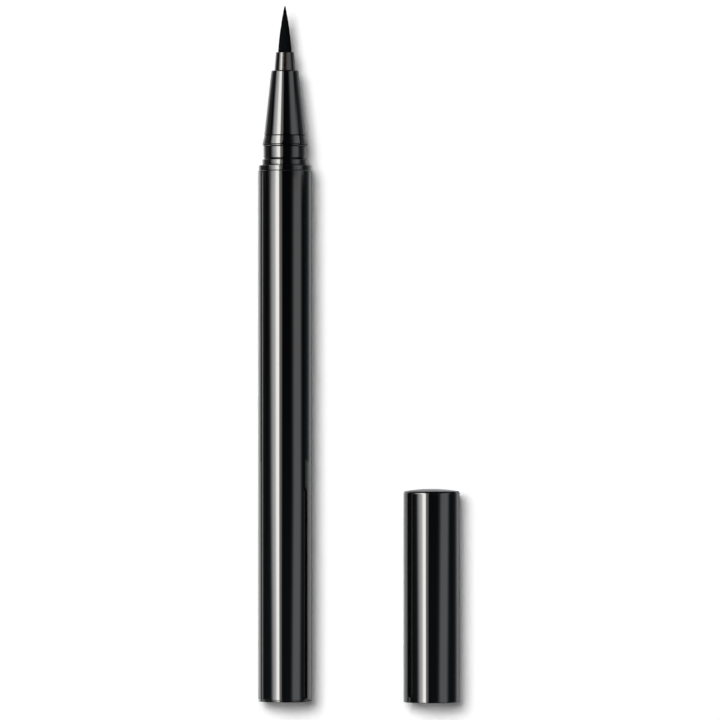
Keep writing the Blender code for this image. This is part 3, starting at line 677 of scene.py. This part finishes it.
class EYELINER_OT_grip_section(Operator):
    """Make the front moulding with its flange, double bead, neck and flared lip"""

    bl_idname = "eyeliner.grip_section"
    bl_label = "Grip section"

    def execute(self, context):
        sizes = context.scene.eyeliner_pen
        axis = axis_of("grip_section")
        start, end = ends_of("grip_section")
        bore, spigot = grip_bore(sizes), barrel_bore(sizes) - FIT
        bead, neck = sizes.bead_diameter / 2, sizes.neck_diameter / 2
        flange, lip = sizes.flange_diameter / 2, sizes.lip_diameter / 2
        back = sizes.nose_back_diameter / 2
        line = sizes.fine_line / 2
        flange_line, lip_line, lip_length = 1.3 * line, 3.3 * line, 0.3 * MM
        seam_width, seam_depth = nose_line(sizes)
        flange_start = ends_of("barrel")[1] + CLOSED
        flange_end = flange_start + SEAM + sizes.flange_length - CLOSED
        ring_start = flange_end + 2 * line
        ring_end = ring_start + sizes.ring_length
        bead_end = ring_end + line + sizes.bead_length
        neck_start = bead_end + sizes.neck_groove
        neck_end = flange_end + sizes.lip_place
        lip_end = neck_end + lip_length
        shown_end = end - NOSE_SEAM_BACK
        flare_end = shown_end - seam_width
        hollow = 0.012 * MM
        grip = turned("moulded_grip_section", axis, [
            (start, bore, EDGE),
            (start, spigot - LEAD_IN),
            (start + LEAD_IN, spigot),
            (flange_start, spigot),
            (flange_start, flange - flange_line),
            (flange_start + flange_line, flange, 0.01 * MM),
            (flange_end, flange, sizes.flange_rounding),
            (flange_end, bead - 2 * line),
            (ring_start - line, bead - 2 * line),
            (ring_start, bead, CRISP_EDGE),
            *fine_line(ring_end - line, bead, 0.7 * line),
            (bead_end, bead, RIB_EDGE),
            ((bead_end + neck_start) / 2, neck - 0.4 * sizes.neck_groove),
            (neck_start, neck, CRISP_EDGE),
            (neck_end - 2 * line, neck),
            (neck_end, neck - 2 * line),
            (neck_end + 0.2 * line, lip - line),
            (neck_end + 1.2 * line, lip),
            *fine_line(lip_end, lip, lip_line),
            *bowed((lip_end + lip_line / 2, lip), (flare_end, back), -hollow, 16)[1:],
            (flare_end, back),
            (shown_end, back - seam_depth),
            (shown_end, bore),
        ])
        place_piece(grip, "grip_section", "pen", "black_moulding")
        return {"FINISHED"}


class EYELINER_OT_nose_cone(Operator):
    """Make the tapered nose cone"""

    bl_idname = "eyeliner.nose_cone"
    bl_label = "Nose cone"

    def execute(self, context):
        sizes = context.scene.eyeliner_pen
        axis = axis_of("nose_cone")
        start, end = ends_of("nose_cone")
        shown = ends_of("grip_section")[1] - NOSE_SEAM_BACK + CLOSED
        spigot, wall, chamfer = grip_bore(sizes) - FIT, 0.8 * MM, 0.25 * MM
        wide, narrow = spigot - wall, sizes.nib_diameter / 2 + sizes.holder_wall + FIT
        step_end = ends_of("nib_holder")[0] - SEAM
        back, front = sizes.nose_back_diameter / 2, sizes.nose_front_diameter / 2
        seam_width, seam_depth = nose_line(sizes)
        nose = turned("tapered_nose_cone", axis, [
            (start, wide),
            (start, spigot - chamfer),
            (start + chamfer, spigot),
            (shown, spigot),
            (shown, back - seam_depth),
            *bowed((shown + seam_width, back), (end, front), sizes.nose_bulge, 24),
            (end, front, sizes.nose_rounding),
            (end, narrow, FULL_EDGE),
            (step_end, narrow),
            (step_end - wall, wide),
        ])
        place_piece(nose, "nose_cone", "pen", "black_moulding")
        return {"FINISHED"}


class EYELINER_OT_nib(Operator):
    """Make the nib holder and the pointed fibre nib"""

    bl_idname = "eyeliner.nib"
    bl_label = "Nib and holder"

    def execute(self, context):
        sizes = context.scene.eyeliner_pen
        axis = axis_of("nib_holder")
        start, end = ends_of("nib_holder")
        shown = ends_of("nose_cone")[1] + CLOSED
        radius = sizes.nib_diameter / 2
        bore, spigot = radius + FIT, radius + sizes.holder_wall
        holder = turned("gunmetal_nib_holder", axis, [
            (start, bore),
            (start, spigot, EDGE),
            (shown, spigot),
            (shown, sizes.holder_back_diameter / 2, EDGE),
            (end, sizes.holder_front_diameter / 2, 0.12 * MM),
            (end, bore, EDGE),
        ], CORE_STEPS)
        place_piece(holder, "nib_holder", "pen", "gunmetal")
        tail, tip = ends_of("nib")
        tip += NIB_REACH
        point, steps, fullness = sizes.nib_tip / 2, 24, 1.5
        socket, socket_end = sizes.wick_diameter / 2 + FIT, tail + 2.0 * MM
        outline = [(socket_end, 0.0), (socket_end, socket), (tail, socket), (tail, radius, EDGE)]
        for step in range(steps):
            share = (1 - step / steps) ** fullness
            width = point + (radius - point) * (1 - (1 - share) ** fullness)
            outline.append((tip - sizes.nib_point * share, width))
        outline += [(tip, point, point * 0.8), (tip, 0.0)]
        nib = turned("fibre_nib", axis, outline, CORE_STEPS)
        place_piece(nib, "nib", "pen", "nib_fibre")
        return {"FINISHED"}


class EYELINER_OT_reservoir(Operator):
    """Make the tank for the liquid and the steel ball that stirs it"""

    bl_idname = "eyeliner.reservoir"
    bl_label = "Tank and stirring ball"

    def execute(self, context):
        sizes = context.scene.eyeliner_pen
        axis = axis_of("ink_tank")
        start, end = ends_of("ink_tank")
        outer = barrel_bore(sizes) - FIT
        inner = outer - sizes.tank_wall
        floor, flare = start + 0.8 * MM, 0.2 * MM
        tank = turned("ink_reservoir_tube", axis, [
            (start, 0.0),
            (start, outer, SOFT_EDGE),
            (end, outer, EDGE),
            (end, inner + flare, 0.03 * MM),
            (end - flare, inner),
            (floor, inner, 0.3 * MM),
            (floor, 0.0),
        ])
        place_piece(tank, "ink_tank", "pen", "tank_plastic")
        low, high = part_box("stirring_ball")
        shape = bmesh.new()
        place = Matrix.Translation((low + high) / 2) @ Matrix.Rotation(math.pi / 2, 4, "X")
        bmesh.ops.create_icosphere(shape, subdivisions=5, radius=sizes.ball_diameter / 2, matrix=place)
        ball = finish_shape("steel_stirring_ball", shape)
        place_piece(ball, "stirring_ball", "ball", "polished_steel")
        return {"FINISHED"}


class EYELINER_OT_collector(Operator):
    """Make the finned collector and the wick that runs through it"""

    bl_idname = "eyeliner.collector"
    bl_label = "Collector and wick"

    def execute(self, context):
        sizes = context.scene.eyeliner_pen
        axis = axis_of("ink_tank")
        start, end = ends_of("collector")
        bore = sizes.wick_diameter / 2 + FIT
        core = bore + 0.75 * MM
        tank = barrel_bore(sizes) - FIT - sizes.tank_wall
        seal, fin = tank - FIT, tank - 0.15 * MM
        spout, seal_length, seal_bead, relief_depth = 3.0 * MM, 2.6 * MM, 0.7 * MM, 0.25 * MM
        seal_start = start + spout
        field_start = seal_start + seal_length
        relief = seal - relief_depth
        outline = [
            (start, bore, EDGE),
            (start, core, BROAD_FILLET),
            (seal_start, core, FILLET),
            (seal_start, seal, RIB_EDGE),
            (seal_start + seal_bead, seal, RIB_EDGE),
            (seal_start + seal_bead, relief),
            (field_start - seal_bead, relief),
            (field_start - seal_bead, seal, RIB_EDGE),
            (field_start, seal, RIB_EDGE),
            (field_start, core),
        ]
        pitch = sizes.fin_thickness + sizes.fin_gap
        for index in range(sizes.fin_count):
            fin_end = field_start + (index + 1) * pitch
            fin_start = fin_end - sizes.fin_thickness
            outline += [(fin_start, core), (fin_start, fin, RIB_EDGE)]
            outline += [(fin_end, fin, RIB_EDGE), (fin_end, core)]
        field_end = field_start + sizes.fin_count * pitch
        guide_start = ends_of("grip_section")[0] + SEAM
        guide, guide_length, chamfer = grip_bore(sizes) - FIT, 3.0 * MM, 0.25 * MM
        outline += [
            (guide_start, core, SOFT_EDGE),
            (guide_start, guide - chamfer),
            (guide_start + chamfer, guide),
            (guide_start + guide_length, guide, FULL_EDGE),
            (guide_start + guide_length, core, FILLET),
            (end, core, FULL_EDGE),
            (end, bore),
        ]
        collector = turned("finned_collector", axis, outline, CORE_STEPS)
        slot_start, slot_end = field_start + sizes.fin_gap / 2, field_end + 0.6 * MM
        beyond, air_depth = fin + 1.0 * MM, 0.9 * MM
        for width, low, high in ((0.25 * MM, core, beyond), (1.2 * MM, -beyond, air_depth - fin)):
            slotted(
                collector,
                axis + Vector((-width / 2, slot_start, low)),
                axis + Vector((width / 2, slot_end, high)),
            )
        place_piece(collector, "collector", "pen", "white_plastic")
        start, end = ends_of("relay_wick")
        radius = sizes.wick_diameter / 2
        wick = turned("fibre_relay_wick", axis, [
            (start, 0.0), (start, radius, FULL_EDGE), (end, radius, FULL_EDGE), (end, 0.0),
        ], CORE_STEPS)
        place_piece(wick, "relay_wick", "pen", "wick_fibre")
        return {"FINISHED"}


# The cap's pieces


def spring_boss(sizes):
    """Radius of the two bosses that the spring's ends stand on."""
    return sizes.spring_diameter / 2 - sizes.spring_wire - 0.25 * MM


class EYELINER_OT_cap_shell(Operator):
    """Make the cap's lacquered shell"""

    bl_idname = "eyeliner.cap_shell"
    bl_label = "Cap shell"

    def execute(self, context):
        sizes = context.scene.eyeliner_cap
        axis = axis_of("cap_shell")
        mouth, top = ends_of("cap_shell")
        top -= DOME_DROP
        radius, boss = sizes.cap_diameter / 2, spring_boss(sizes)
        bore = radius - sizes.cap_wall
        rim = top - sizes.cap_crown
        end_wall, boss_length = 1.0 * MM, 1.0 * MM
        inner_end = rim - end_wall
        skirt = context.scene.eyeliner_pen.flange_diameter / 2 + FIT
        shell = turned("lacquered_cap_shell", axis, [
            *crown(top, rim, radius - sizes.cap_rounding)[:-1],
            (rim, radius, sizes.cap_rounding),
            (mouth, radius, sizes.mouth_rounding),
            (mouth, skirt, FULL_EDGE),
            (mouth + sizes.skirt_depth, skirt),
            (mouth + sizes.skirt_depth, bore),
            (inner_end, bore),
            (inner_end, boss),
            (inner_end - boss_length, boss, FILLET),
            (inner_end - boss_length, 0.0),
        ])
        place_piece(shell, "cap_shell", "cap", "black_lacquer")
        return {"FINISHED"}


class EYELINER_OT_cap_liner(Operator):
    """Make the liner with its click ridge and the ring that guides the inner cap"""

    bl_idname = "eyeliner.cap_liner"
    bl_label = "Cap liner"

    def execute(self, context):
        sizes = context.scene.eyeliner_cap
        axis = axis_of("cap_liner")
        start, end = ends_of("cap_liner")
        outer = sizes.cap_diameter / 2 - sizes.cap_wall - FIT
        inner = outer - sizes.liner_wall
        ridge = sizes.ridge_diameter / 2
        guide = sizes.inner_cap_diameter / 2 + FIT
        chamber = (guide + outer) / 2
        # The ridge clicks behind the pen's lip, with a little play.
        play, slope, crest = 0.04 * MM, 0.35 * MM, 0.55 * MM
        ridge_end = start + context.scene.eyeliner_pen.lip_place + play
        crest_end = ridge_end - slope
        crest_start = crest_end - crest
        guide_slope, guide_length = 0.8 * MM, 4.2 * MM
        guide_start = ends_of("inner_cap")[0] - guide_slope
        guide_end = guide_start + guide_length
        mouth_slope = 0.2 * MM
        liner = turned("ridged_cap_liner", axis, [
            (start, outer, THIN_EDGE),
            (start, inner + mouth_slope, THIN_EDGE),
            (start + mouth_slope, inner, FULL_EDGE),
            (crest_start - slope, inner, SOFT_EDGE),
            (crest_start, ridge, SOFT_EDGE),
            (crest_end, ridge, SOFT_EDGE),
            (ridge_end, inner, SOFT_EDGE),
            (guide_start - guide_slope, inner, SOFT_EDGE),
            (guide_start, guide, SOFT_EDGE),
            (guide_end, guide, THIN_EDGE),
            (guide_end, chamber, RIB_EDGE),
            (end, chamber, THIN_EDGE),
            (end, outer, THIN_EDGE),
        ])
        place_piece(liner, "cap_liner", "cap", "white_plastic")
        return {"FINISHED"}


class EYELINER_OT_inner_cap(Operator):
    """Make the sealing inner cap that closes over the nose cone"""

    bl_idname = "eyeliner.inner_cap"
    bl_label = "Inner cap"

    def execute(self, context):
        sizes = context.scene.eyeliner_cap
        axis = axis_of("cap_liner")
        mouth, boss_end = ends_of("inner_cap")
        outer = sizes.inner_cap_diameter / 2
        flange = (outer + sizes.cap_diameter / 2 - sizes.cap_wall) / 2 - FIT
        boss, wall, boss_length = spring_boss(sizes), 0.8 * MM, 0.8 * MM
        end = boss_end - boss_length
        cavity_end = end - wall
        narrow, wide, shoulder_slope = 2.31 * MM, 2.85 * MM, 0.8 * MM
        flange_length = 1.0 * MM
        flange_start, shoulder = mouth + 3.5 * MM, mouth + 7.0 * MM
        inner_cap = turned("sealing_inner_cap", axis, [
            (cavity_end, 0.0),
            (cavity_end, narrow, sizes.inner_cap_rounding),
            (shoulder + shoulder_slope, narrow, SOFT_EDGE),
            (shoulder, wide, SOFT_EDGE),
            (mouth, outer - LEAD_IN, FULL_EDGE),
            (mouth, outer, SOFT_EDGE),
            (flange_start, outer, EDGE),
            (flange_start, flange, FULL_EDGE),
            (flange_start + flange_length, flange, FULL_EDGE),
            (flange_start + flange_length, outer, EDGE),
            (end, outer, sizes.inner_cap_rounding),
            (end, boss),
            (boss_end, boss, FILLET),
            (boss_end, 0.0),
        ], CORE_STEPS)
        place_piece(inner_cap, "inner_cap", "inner_cap", "white_plastic")
        return {"FINISHED"}


class EYELINER_OT_spring(Operator):
    """Make the coil spring behind the inner cap"""

    bl_idname = "eyeliner.spring"
    bl_label = "Spring"

    def execute(self, context):
        sizes = context.scene.eyeliner_cap
        axis = axis_of("cap_liner")
        start, end = ends_of("inner_cap_spring")
        wire = sizes.spring_wire / 2
        radius = sizes.spring_diameter / 2 - wire
        travel = end - start - 2 * wire
        turn_steps, wire_steps = 48, 14
        steps = sizes.spring_turns * turn_steps
        shape = bmesh.new()
        turn = Matrix.Rotation(math.pi / 2, 4, "Y")
        place = Matrix.Translation(axis + Vector((0, start + wire, radius))) @ turn
        bmesh.ops.create_circle(shape, segments=wire_steps, radius=wire, matrix=place)
        bmesh.ops.spin(
            shape, geom=shape.verts[:] + shape.edges[:], cent=axis, axis=LONG_AXIS,
            dvec=(0, travel / steps, 0), angle=math.tau * sizes.spring_turns, steps=steps,
        )
        open_ends = [edge for edge in shape.edges if edge.is_boundary]
        bmesh.ops.holes_fill(shape, edges=open_ends)
        spring = finish_shape("coiled_spring", shape)
        place_piece(spring, "inner_cap_spring", "cap", "polished_steel")
        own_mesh(spring)
        return {"FINISHED"}


# The studio


def light_bank(name, stops, still, by_barrel, by_front, tint="#FFFFFF"):
    """A bank of long soft boxes that only gloss shows, along Y on one side of the table.

    A stop is (angle from the vertical towards +X in degrees, radiance), or has a tint behind them. A
    station is (metres along the bank, width of the bands about the still angle, degrees they shift). Those
    by the barrel and the cap come first, and those for the front start at NECK_LIGHT.
    """
    near, far = stops[0][0], stops[-1][0]
    middle, half = math.radians(near + far) / 2, math.radians(far - near) / 2
    lamp = bpy.data.lights.new(name, "AREA")
    lamp.shape = "RECTANGLE"
    lamp.size = 2 * LAMP_DISTANCE * math.tan(half)
    lamp.size_y = LAMP_LENGTH
    lamp.energy = math.pi * lamp.size * lamp.size_y
    lamp.use_nodes = True
    tree = lamp.node_tree

    def share_of(angle):
        return 0.5 + math.tan(math.radians(angle) - middle) / math.tan(half) / 2

    spot = add(tree, "SeparateXYZ", {"Vector": add(tree, "NewGeometry").outputs["Parametric"]}).outputs
    # The same place on a piece is seen further along the bank towards the bank's long edges.
    aside = add(tree, "Math", {0: spot["X"], 1: 0.5}, operation="SUBTRACT")
    slant = add(tree, "Math", {0: aside, 1: 2 * math.tan(half)}, operation="MULTIPLY")
    square = add(tree, "Math", {0: slant, 1: slant, 2: 1.0}, operation="MULTIPLY_ADD")
    stretch = add(tree, "Math", {0: square}, operation="SQRT")
    reach = LAMP_DISTANCE / CAMERA_PLACE[2]
    seen = add(tree, "Math", {0: stretch, 1: reach, 2: 1.0}, operation="MULTIPLY_ADD")
    onward = add(tree, "Math", {0: spot["Y"], 1: 0.5}, operation="SUBTRACT")
    evened = add(tree, "Math", {0: onward, 1: (1 + reach) * LAMP_LENGTH}, operation="MULTIPLY")
    along = add(tree, "Math", {0: evened, 1: seen}, operation="DIVIDE")
    changes = []
    for stations in (by_barrel, by_front):
        first, last = stations[0][0], stations[-1][0]
        place = add(tree, "MapRange", {"Value": along, "From Min": first, "From Max": last})
        change = add(tree, "ValToRGB", {"Fac": place})
        set_stops(change, [
            ((metres - first) / (last - first), (1 / width / MOST_NARROWED, 0.5 + shift / SHIFT_SPAN, 0, 1))
            for metres, width, shift in stations
        ])
        changes.append(change)
    front = add(tree, "Math", {0: along, 1: NECK_LIGHT}, operation="GREATER_THAN")
    change = add(tree, "MixRGB", {"Fac": front, "Color1": changes[0], "Color2": changes[1]})
    parts = add(tree, "SeparateColor", {"Color": change}).outputs
    span = SHIFT_SPAN * (share_of(still + 0.5) - share_of(still - 0.5))
    shift = add(tree, "Math", {0: parts["Green"], 1: -span, 2: span / 2}, operation="MULTIPLY_ADD")
    away = add(tree, "Math", {0: spot["X"], 1: share_of(still)}, operation="SUBTRACT")
    shifted = add(tree, "Math", {0: away, 1: shift}, operation="ADD")
    narrowed = add(tree, "Math", {0: shifted, 1: parts["Red"]}, operation="MULTIPLY")
    across = add(tree, "Math", {0: narrowed, 1: MOST_NARROWED, 2: share_of(still)}, operation="MULTIPLY_ADD")
    ramp = add(tree, "ValToRGB", {"Fac": across})
    brightest = max(stop[1] for stop in stops)
    set_stops(ramp, [
        (share_of(stop[0]), toned(linear(stop[2] if len(stop) > 2 else tint), stop[1] / brightest))
        for stop in stops
    ])
    set_sockets(tree.nodes["Emission"], {"Color": ramp, "Strength": brightest})
    box = bpy.data.objects.new(name, lamp)
    box.location = (LAMP_DISTANCE * math.sin(middle), 0, LAMP_DISTANCE * math.cos(middle))
    box.rotation_euler = (0, middle, 0)
    box.visible_camera = False
    box.visible_diffuse = False
    box.visible_transmission = False
    bpy.context.scene.collection.objects.link(box)


def floor_material(colours, studio):
    """Matte white acrylic sheet. The camera sees only the shadow that lies on it, and gloss sees painted
    reflections: strips made lighter, glowing or dark by place.
    """
    material, tree, shader, place = new_material("matte_white_acrylic_sheet")
    rays = add(tree, "LightPath").outputs
    glossy = rays["Is Glossy Ray"]
    seen = add(tree, "Math", {0: rays["Is Camera Ray"], 1: rays["Is Transmission Ray"]}, operation="MAXIMUM")
    shown = add(tree, "Math", {0: seen, 1: glossy}, operation="MAXIMUM")
    lift = add(tree, "Math", {0: shown, 1: studio.lift}, operation="MULTIPLY")
    grain = add(tree, "TexNoise", {"Vector": place, "Scale": waves(2.5), "Detail": 2.0})
    white = colours.floor
    tone = add(tree, "MixRGB", {"Fac": grain, "Color1": toned(white), "Color2": toned(white, 0.995)})
    # Painted reflection: gloss sees the sheet as it is lit beside the pen and the cap, with painted glow in
    # listed strips, and painted dark further out.
    spot = add(tree, "SeparateXYZ", {"Vector": place}).outputs
    reach = PAINTED_REFLECTION_REACH * MM
    across = add(tree, "MapRange", {"Value": spot["X"], "From Min": -reach, "From Max": reach})
    painted_reflection_strips = []
    for stops in (PAINTED_REFLECTION_BY_CAP, PAINTED_REFLECTION_BY_BARREL, PAINTED_REFLECTION_BY_FRONT):
        painted_strip = add(tree, "ValToRGB", {"Fac": across})
        set_stops(painted_strip, [((x / PAINTED_REFLECTION_REACH + 1) / 2, (level, painted_glow, 0, 1)) for x, level, painted_glow in stops])
        painted_reflection_strips.append(painted_strip)
    painted_strip = painted_reflection_strips[0]
    for further, edge in zip(painted_reflection_strips[1:], (CAP_END, BARREL_FRONT)):
        low, high = edge - PAINTED_REFLECTION_BLEND / 2, edge + PAINTED_REFLECTION_BLEND / 2
        beyond = add(tree, "MapRange", {"Value": spot["Y"], "From Min": low, "From Max": high})
        painted_strip = add(tree, "MixRGB", {"Fac": beyond, "Color1": painted_strip, "Color2": further})
    painted_levels = add(tree, "SeparateColor", {"Color": painted_strip}).outputs
    # Gloss only: painted glow where the strips list it, and painted darkening towards the dark sheet below.
    painted_glow = add(tree, "Math", {0: glossy, 1: painted_levels["Green"]}, operation="MULTIPLY")
    painted_dark_share = add(tree, "Math", {0: 1.0, 1: painted_levels["Red"]}, operation="SUBTRACT")
    painted_dark_fade = add(tree, "Math", {0: painted_dark_share, 1: glossy}, operation="MULTIPLY")
    set_sockets(shader, {
        "Base Color": tone,
        "Roughness": 1.0,
        "Specular IOR Level": 0.0,
        "Emission Color": toned(linear("#FFFFFF")),
        "Emission Strength": add(tree, "Math", {0: lift, 1: painted_glow}, operation="ADD"),
    })
    # A dark bluish sheet that only gloss sees: painted dark reflection.
    dark = add(tree, "BsdfDiffuse", {"Color": toned(linear("#35424A"))})
    blend = add(tree, "MixShader", {"Fac": painted_dark_fade, 1: shader, 2: dark})
    set_sockets(tree.nodes["Material Output"], {"Surface": blend})
    return material


def make_world(studio):
    """White to the camera and through clear plastic, dim to gloss, and plain soft light for the rest."""
    world = bpy.data.worlds.new("studio")
    bpy.context.scene.world = world
    world.use_nodes = True
    tree = world.node_tree
    rays = add(tree, "LightPath").outputs
    white = toned(linear("#FFFFFF"))
    plain = tree.nodes["Background"]
    set_sockets(plain, {"Color": white, "Strength": studio.sky})
    heading = add(tree, "SeparateXYZ", {"Vector": add(tree, "TexCoord").outputs["Generated"]}).outputs["Y"]
    level = add(tree, "MapRange", {
        "Value": heading, "From Min": PAST_REAR[0], "From Max": PAST_TIP[0],
        "To Min": PAST_REAR[1], "To Max": PAST_TIP[1],
    })
    dim = add(tree, "Background", {"Color": toned(linear("#C4DEEE")), "Strength": level})
    bare = add(tree, "Background", {"Color": white, "Strength": 1.0})
    straight, through = rays["Is Camera Ray"], rays["Is Transmission Ray"]
    clear = add(tree, "Math", {0: straight, 1: through}, operation="MAXIMUM")
    gloss = add(tree, "MixShader", {"Fac": rays["Is Glossy Ray"], 1: plain, 2: dim})
    seen = add(tree, "MixShader", {"Fac": clear, 1: gloss, 2: bare})
    set_sockets(tree.nodes["World Output"], {"Surface": seen})


class EYELINER_OT_stage(Operator):
    """Make the white floor, the soft boxes, the plain light and the camera straight above"""

    bl_idname = "eyeliner.stage"
    bl_label = "Stage"

    def execute(self, context):
        scene = context.scene
        studio = scene.eyeliner_studio
        shape = bmesh.new()
        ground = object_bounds()[0].z
        bmesh.ops.create_grid(shape, x_segments=1, y_segments=1, size=FLOOR_SIZE / 2)
        bmesh.ops.translate(shape, vec=(0, 0, ground), verts=shape.verts)
        mesh = bpy.data.meshes.new("floor")
        shape.to_mesh(mesh)
        shape.free()
        floor = bpy.data.objects.new("floor", mesh)
        scene.collection.objects.link(floor)
        floor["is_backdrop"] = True
        mesh.materials.append(floor_material(scene.eyeliner_colours, studio))
        key, fill = studio.key, studio.fill
        light_bank("key_bank", [
            (-84, 0.02), (-78, 0.05), (-73, 0.12), (-70, 0.3), (-67, 1.0), (-63.5, 2.3), (-58.5, 4.8),
            (-54, 6.7), (-49, 8.1), (-45, 9.4), (-42, 11.5), (-40, 15.0, WARM), (-38, key * 0.9, WARM),
            (-35, key * 0.97, WARM), (-31, key, WARM), (-27, key, WARM), (-25, key * 0.9, WARM),
            (-23.8, 8.0, WARM), (-23, 3.6), (-19, 2.8), (-14, 2.1), (-12.2, 1.6), (-11.2, 0.4),
            (-9.5, 0.03), (-7, 0.0),
        ], KEY_STILL, KEY_BY_BARREL, KEY_BY_FRONT)
        light_bank("fill_bank", [
            (4, 0.0), (22, 0.004), (26, 0.085), (30, 0.2), (33, 0.5), (36, fill * 0.5), (39, fill * 0.77),
            (42, fill * 0.94), (46, fill), (63, fill), (66.5, fill * 0.9), (69.5, fill * 0.7),
            (72.5, fill * 0.42), (75.5, fill * 0.2), (80, 0.08), (84, 0.04), (88, 0.02),
        ], FILL_STILL, FILL_BY_BARREL, FILL_BY_FRONT, COOL)
        for name, share, across, lean in OVERHEADS:
            sun = bpy.data.lights.new(name, "SUN")
            sun.energy = studio.sun * share
            sun.angle = math.radians(across)
            overhead = bpy.data.objects.new(name, sun)
            overhead.rotation_euler = (math.radians(OVERHEAD_TILT), math.radians(lean), 0)
            overhead.visible_glossy = False
            scene.collection.objects.link(overhead)
        make_world(studio)
        camera = bpy.data.cameras.new("camera")
        camera.lens = CAMERA_LENS
        camera.sensor_width = SENSOR_WIDTH
        camera.clip_end = 20.0
        viewer = bpy.data.objects.new("camera", camera)
        viewer.location = CAMERA_PLACE
        scene.collection.objects.link(viewer)
        scene.camera = viewer
        scene.view_settings.view_transform = "Standard"
        return {"FINISHED"}


OPERATORS = (
    EYELINER_OT_barrel,
    EYELINER_OT_grip_section,
    EYELINER_OT_nose_cone,
    EYELINER_OT_nib,
    EYELINER_OT_reservoir,
    EYELINER_OT_collector,
    EYELINER_OT_cap_shell,
    EYELINER_OT_cap_liner,
    EYELINER_OT_inner_cap,
    EYELINER_OT_spring,
    EYELINER_OT_stage,
)


class EYELINER_PT_build(Panel):
    """Lists the pieces of the pen, the cap and the stage"""

    bl_label = "Eyeliner pen"
    bl_idname = "EYELINER_PT_build"
    bl_space_type = "VIEW_3D"
    bl_region_type = "UI"
    bl_category = "Eyeliner"

    def draw(self, context):
        column = self.layout.column()
        for operator in OPERATORS:
            column.operator(operator.bl_idname)
        for title, group in (("Pen", "eyeliner_pen"), ("Cap", "eyeliner_cap"),
                             ("Colours", "eyeliner_colours"), ("Studio", "eyeliner_studio")):
            column.label(text=title)
            values = getattr(context.scene, group)
            for name in values.bl_rna.properties.keys():
                if name not in {"rna_type", "name"}:
                    column.prop(values, name)


GROUPS = {
    "eyeliner_pen": EyelinerPenSizes,
    "eyeliner_cap": EyelinerCapSizes,
    "eyeliner_colours": EyelinerColours,
    "eyeliner_studio": EyelinerStudio,
}


def register():
    for made in (*GROUPS.values(), *OPERATORS, EYELINER_PT_build):
        bpy.utils.register_class(made)
    for name, group in GROUPS.items():
        setattr(bpy.types.Scene, name, PointerProperty(type=group))


def unregister():
    for name in GROUPS:
        delattr(bpy.types.Scene, name)
    for made in reversed((*GROUPS.values(), *OPERATORS, EYELINER_PT_build)):
        bpy.utils.unregister_class(made)


def main():
    """Makes the pen, the cap and the stage, in order."""
    register()
    bpy.ops.eyeliner.barrel()
    bpy.ops.eyeliner.grip_section()
    bpy.ops.eyeliner.nose_cone()
    bpy.ops.eyeliner.nib()
    bpy.ops.eyeliner.reservoir()
    bpy.ops.eyeliner.collector()
    bpy.ops.eyeliner.cap_shell()
    bpy.ops.eyeliner.cap_liner()
    bpy.ops.eyeliner.inner_cap()
    bpy.ops.eyeliner.spring()
    bpy.ops.eyeliner.stage()


if __name__ == "__main__":
    main()
